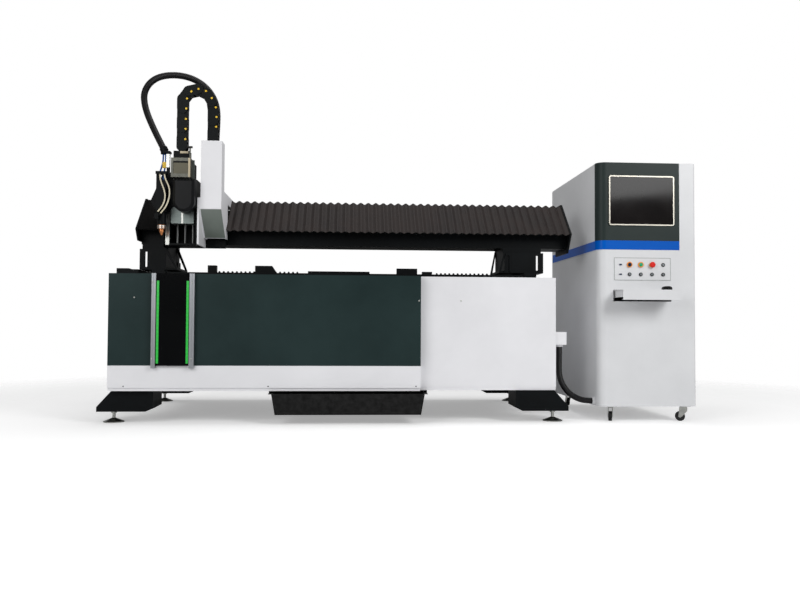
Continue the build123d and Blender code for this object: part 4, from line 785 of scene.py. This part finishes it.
def makeMouse():
    x, y, z = mouse["spot"]
    halfWidth, halfLength = mouse["half"]
    mesh = bmesh.new()
    rings = []
    for k in range(mouse["rings"]):
        share = k / (mouse["rings"] - 1)
        foot = mouse["footSize"] + (1 - mouse["footSize"]) * min(1, share * mouse["footRate"])
        swell = (1 - share ** mouse["taperPower"] * mouse["taper"]) * foot
        level = z + mouse["height"] * math.sin(share * math.pi / 2)
        ring = []
        for j in range(mouse["sides"]):
            turn = 2 * math.pi * j / mouse["sides"]
            ring.append(mesh.verts.new(place(x + halfWidth * swell * math.cos(turn),
                                             y + halfLength * swell * math.sin(turn), level)))
        rings.append(ring)
    skinRings(mesh, rings)
    makePiece(mesh, "mouseShell", "mouse_shelf", "abs", 0, ("mouse",))


makeMouse()
print("fins and mouse made")

# Carriage cover: a thin grey skin on the sloping face under the tall box, painted shade on the white
# cover
slope = {"x": (571.6, 700.4), "top": (-50, 1358), "foot": (130, 1190), "margin": 4,
         "lifts": (0.05, 0.7)}


def makeSlope():
    (topY, topZ), (footY, footZ) = slope["top"], slope["foot"]
    run = math.dist(slope["top"], slope["foot"])
    along = ((footY - topY) / run, (footZ - topZ) / run)
    out = (along[1], -along[0])
    near = slope["margin"]
    inner, outer = slope["lifts"]
    mesh = bmesh.new()
    corners = []
    for x in slope["x"]:
        for distance, lift in ((near, inner), (near, outer), (run - near, outer), (run - near, inner)):
            y = topY + along[0] * distance + out[0] * lift
            z = topZ + along[1] * distance + out[1] * lift
            corners.append(mesh.verts.new(place(x, y, z)))
    mesh.faces.new(corners[:4])
    mesh.faces.new(list(reversed(corners[4:])))
    for k in range(4):
        after = (k + 1) % 4
        mesh.faces.new([corners[k], corners[k + 4], corners[after + 4], corners[after]])
    # The grey skin on the slope is painted shade
    makePiece(mesh, "coverSlopeShade", "carriage", "greyOutlineAndSlopeShade", 0.2)


makeSlope()

# Screws of the window trims and the front panels
screws = {
    "trimScrews": {"spots": [(280, -30, 893), (280, -30, 413), (523, -30, 893), (523, -30, 413)],
                   "radius": 5, "finish": "zinc", "slot": "zinc"},
    "panelScrews": {"spots": [(160, 0, 798), (1958, 0, 789), (2240, 70, 793)],
                    "radius": 5, "finish": "zinc", "slot": "zinc"},
    "kickScrews": {"spots": [(100, 0, 240), (1000, 0, 240), (1940, 0, 240)],
                   "radius": 4, "finish": "black", "slot": "black_paint"},
}
for name, settings in screws.items():
    makeScrews(name, settings)
print("screws made")

# Control panel: collars of outer radius, inner radius and height, port faces and a thin outline
controls = {"columns": [3358, 3434, 3510, 3586], "rows": (1040, 976), "face": 45.7, "portX": 3287,
            "plate": (3256, 3637, 937, 1086), "line": 2.4, "lineRise": (0.4, 0.3),
            "bigCollar": (18.3, 12.35, 8.2), "smallCollar": (12.2, 8.35, 5.4),
            "port": (1, 19), "portHalf": 5, "portRise": (4.5, 3.6)}


def makeCollars():
    face = controls["face"]
    top, bottom = controls["rows"]
    orange, dark = bmesh.new(), bmesh.new()
    for x in controls["columns"][:3]:
        addRing(orange, (x, face, top), *controls["bigCollar"])
    spots = [(controls["columns"][3], top)]
    spots += [(x, bottom) for x in controls["columns"]]
    for x, z in spots:
        addRing(dark, (x, face, z), *controls["smallCollar"])
    makePiece(orange, "controlCollars", "machine", "orange", 0.5)
    makePiece(dark, "buttonCollars", "machine", "abs", 0.3)


def makePorts():
    left, right = controls["port"]
    front, back = (controls["face"] - rise for rise in controls["portRise"])
    half = controls["portHalf"]
    mesh = bmesh.new()
    for z in controls["rows"]:
        addBlock(mesh, (controls["portX"] + left, front, z - half),
                 (controls["portX"] + right, back, z + half))
    makePiece(mesh, "portFaces", "machine", "knobBlue")


def makePlateOutline():
    left, right, low, high = controls["plate"]
    line = controls["line"]
    front, back = controls["face"] - controls["lineRise"][0], controls["face"] + controls["lineRise"][1]
    mesh = bmesh.new()
    for a, b in (((left, low), (right, low + line)), ((left, high - line), (right, high)),
                 ((left, low), (left + line, high)), ((right - line, low), (right, high))):
        addBlock(mesh, (a[0], front, a[1]), (b[0], back, b[1]))
    makePiece(mesh, "plateOutline", "machine", "greyOutlineAndSlopeShade")


makeCollars()
makePorts()
makePlateOutline()
print("controls made")

# White studio: a floor that fades out, soft surroundings and three wide lamps
stage = {
    "radius": 14, "sides": 96, "floorColour": "#f4f4f4", "floorGlow": 0.35, "fade": (2.6, 5.2),
    "aroundColour": "#fafafa", "aroundLight": 0.25,
    "lamps": {
        "key": {"spot": (3.9, -5.2, 3.6), "aim": (0.2, -0.2, 1.0), "size": 2.6, "power": 195},
        "fill": {"spot": (-3.6, -5.2, 3.0), "aim": (-0.3, 0, 1.0), "size": 3.2, "power": 118},
        "top": {"spot": (0.0, 0.4, 5.2), "aim": (0, 0, 0.5), "size": 3.6, "power": 95},
    },
}


def makeFloor():
    mesh = bmesh.new()
    bmesh.ops.create_circle(mesh, cap_ends=True, segments=stage["sides"], radius=stage["radius"])
    data = bpy.data.meshes.new("floor")
    mesh.to_mesh(data)
    mesh.free()
    floor = bpy.data.objects.new("floor", data)
    bpy.context.scene.collection.objects.link(floor)
    shader = {"Roughness": 0.8, "Base Color": toLinear(stage["floorColour"])}
    material, tree, surface = newMaterial("white studio floor", shader)
    glow = addNode(tree, "ShaderNodeEmission",
                   {"Color": toLinear("#ffffff"), "Strength": stage["floorGlow"]})
    both = addNode(tree, "ShaderNodeAddShader", {}, {0: (surface, "BSDF"), 1: (glow, "Emission")})
    path = addNode(tree, "ShaderNodeLightPath")
    lit = addNode(tree, "ShaderNodeMixShader", {},
                  {"Fac": (path, "Is Camera Ray"), 1: (surface, "BSDF"), 2: (both, "Shader")})
    where = addNode(tree, "ShaderNodeTexCoord")
    distance = addNode(tree, "ShaderNodeVectorMath", {"operation": "LENGTH"},
                       {"Vector": (where, "Object")})
    near, far = stage["fade"]
    fade = addNode(tree, "ShaderNodeMapRange", {"From Min": near, "From Max": far},
                   {"Value": (distance, "Value")})
    clear = addNode(tree, "ShaderNodeBsdfTransparent")
    edge = addNode(tree, "ShaderNodeMixShader", {},
                   {"Fac": (fade, "Result"), 1: (lit, "Shader"), 2: (clear, "BSDF")})
    output = [node for node in tree.nodes if node.type == "OUTPUT_MATERIAL"][0]
    tree.links.new(edge.outputs["Shader"], output.inputs["Surface"])
    data.materials.append(material)


# The camera sees plain white, and the object is lit by something softer
def makeSurroundings():
    world = bpy.data.worlds.new("studio")
    world.use_nodes = True
    bpy.context.scene.world = world
    tree = world.node_tree
    tree.nodes.clear()
    path = addNode(tree, "ShaderNodeLightPath")
    sees = addNode(tree, "ShaderNodeMath", {"operation": "MAXIMUM"},
                   {0: (path, "Is Camera Ray"), 1: (path, "Is Transmission Ray")})
    soft = addNode(tree, "ShaderNodeBackground",
                   {"Color": toLinear(stage["aroundColour"]), "Strength": stage["aroundLight"]})
    plain = addNode(tree, "ShaderNodeBackground", {"Color": (1, 1, 1, 1), "Strength": 1.0})
    mix = addNode(tree, "ShaderNodeMixShader", {},
                  {"Fac": (sees, "Value"), 1: (soft, "Background"), 2: (plain, "Background")})
    addNode(tree, "ShaderNodeOutputWorld", {}, {"Surface": (mix, "Shader")})


def makeLamps():
    for name, lamp in stage["lamps"].items():
        data = bpy.data.lights.new(name, "AREA")
        data.size = lamp["size"]
        data.energy = lamp["power"]
        light = bpy.data.objects.new(name, data)
        light.location = lamp["spot"]
        aim = Vector(lamp["aim"]) - Vector(lamp["spot"])
        light.rotation_euler = aim.to_track_quat("-Z", "Y").to_euler()
        bpy.context.scene.collection.objects.link(light)


bpy.context.scene.view_settings.view_transform = "Standard"
makeFloor()
makeSurroundings()
makeLamps()
print("stage and light made")
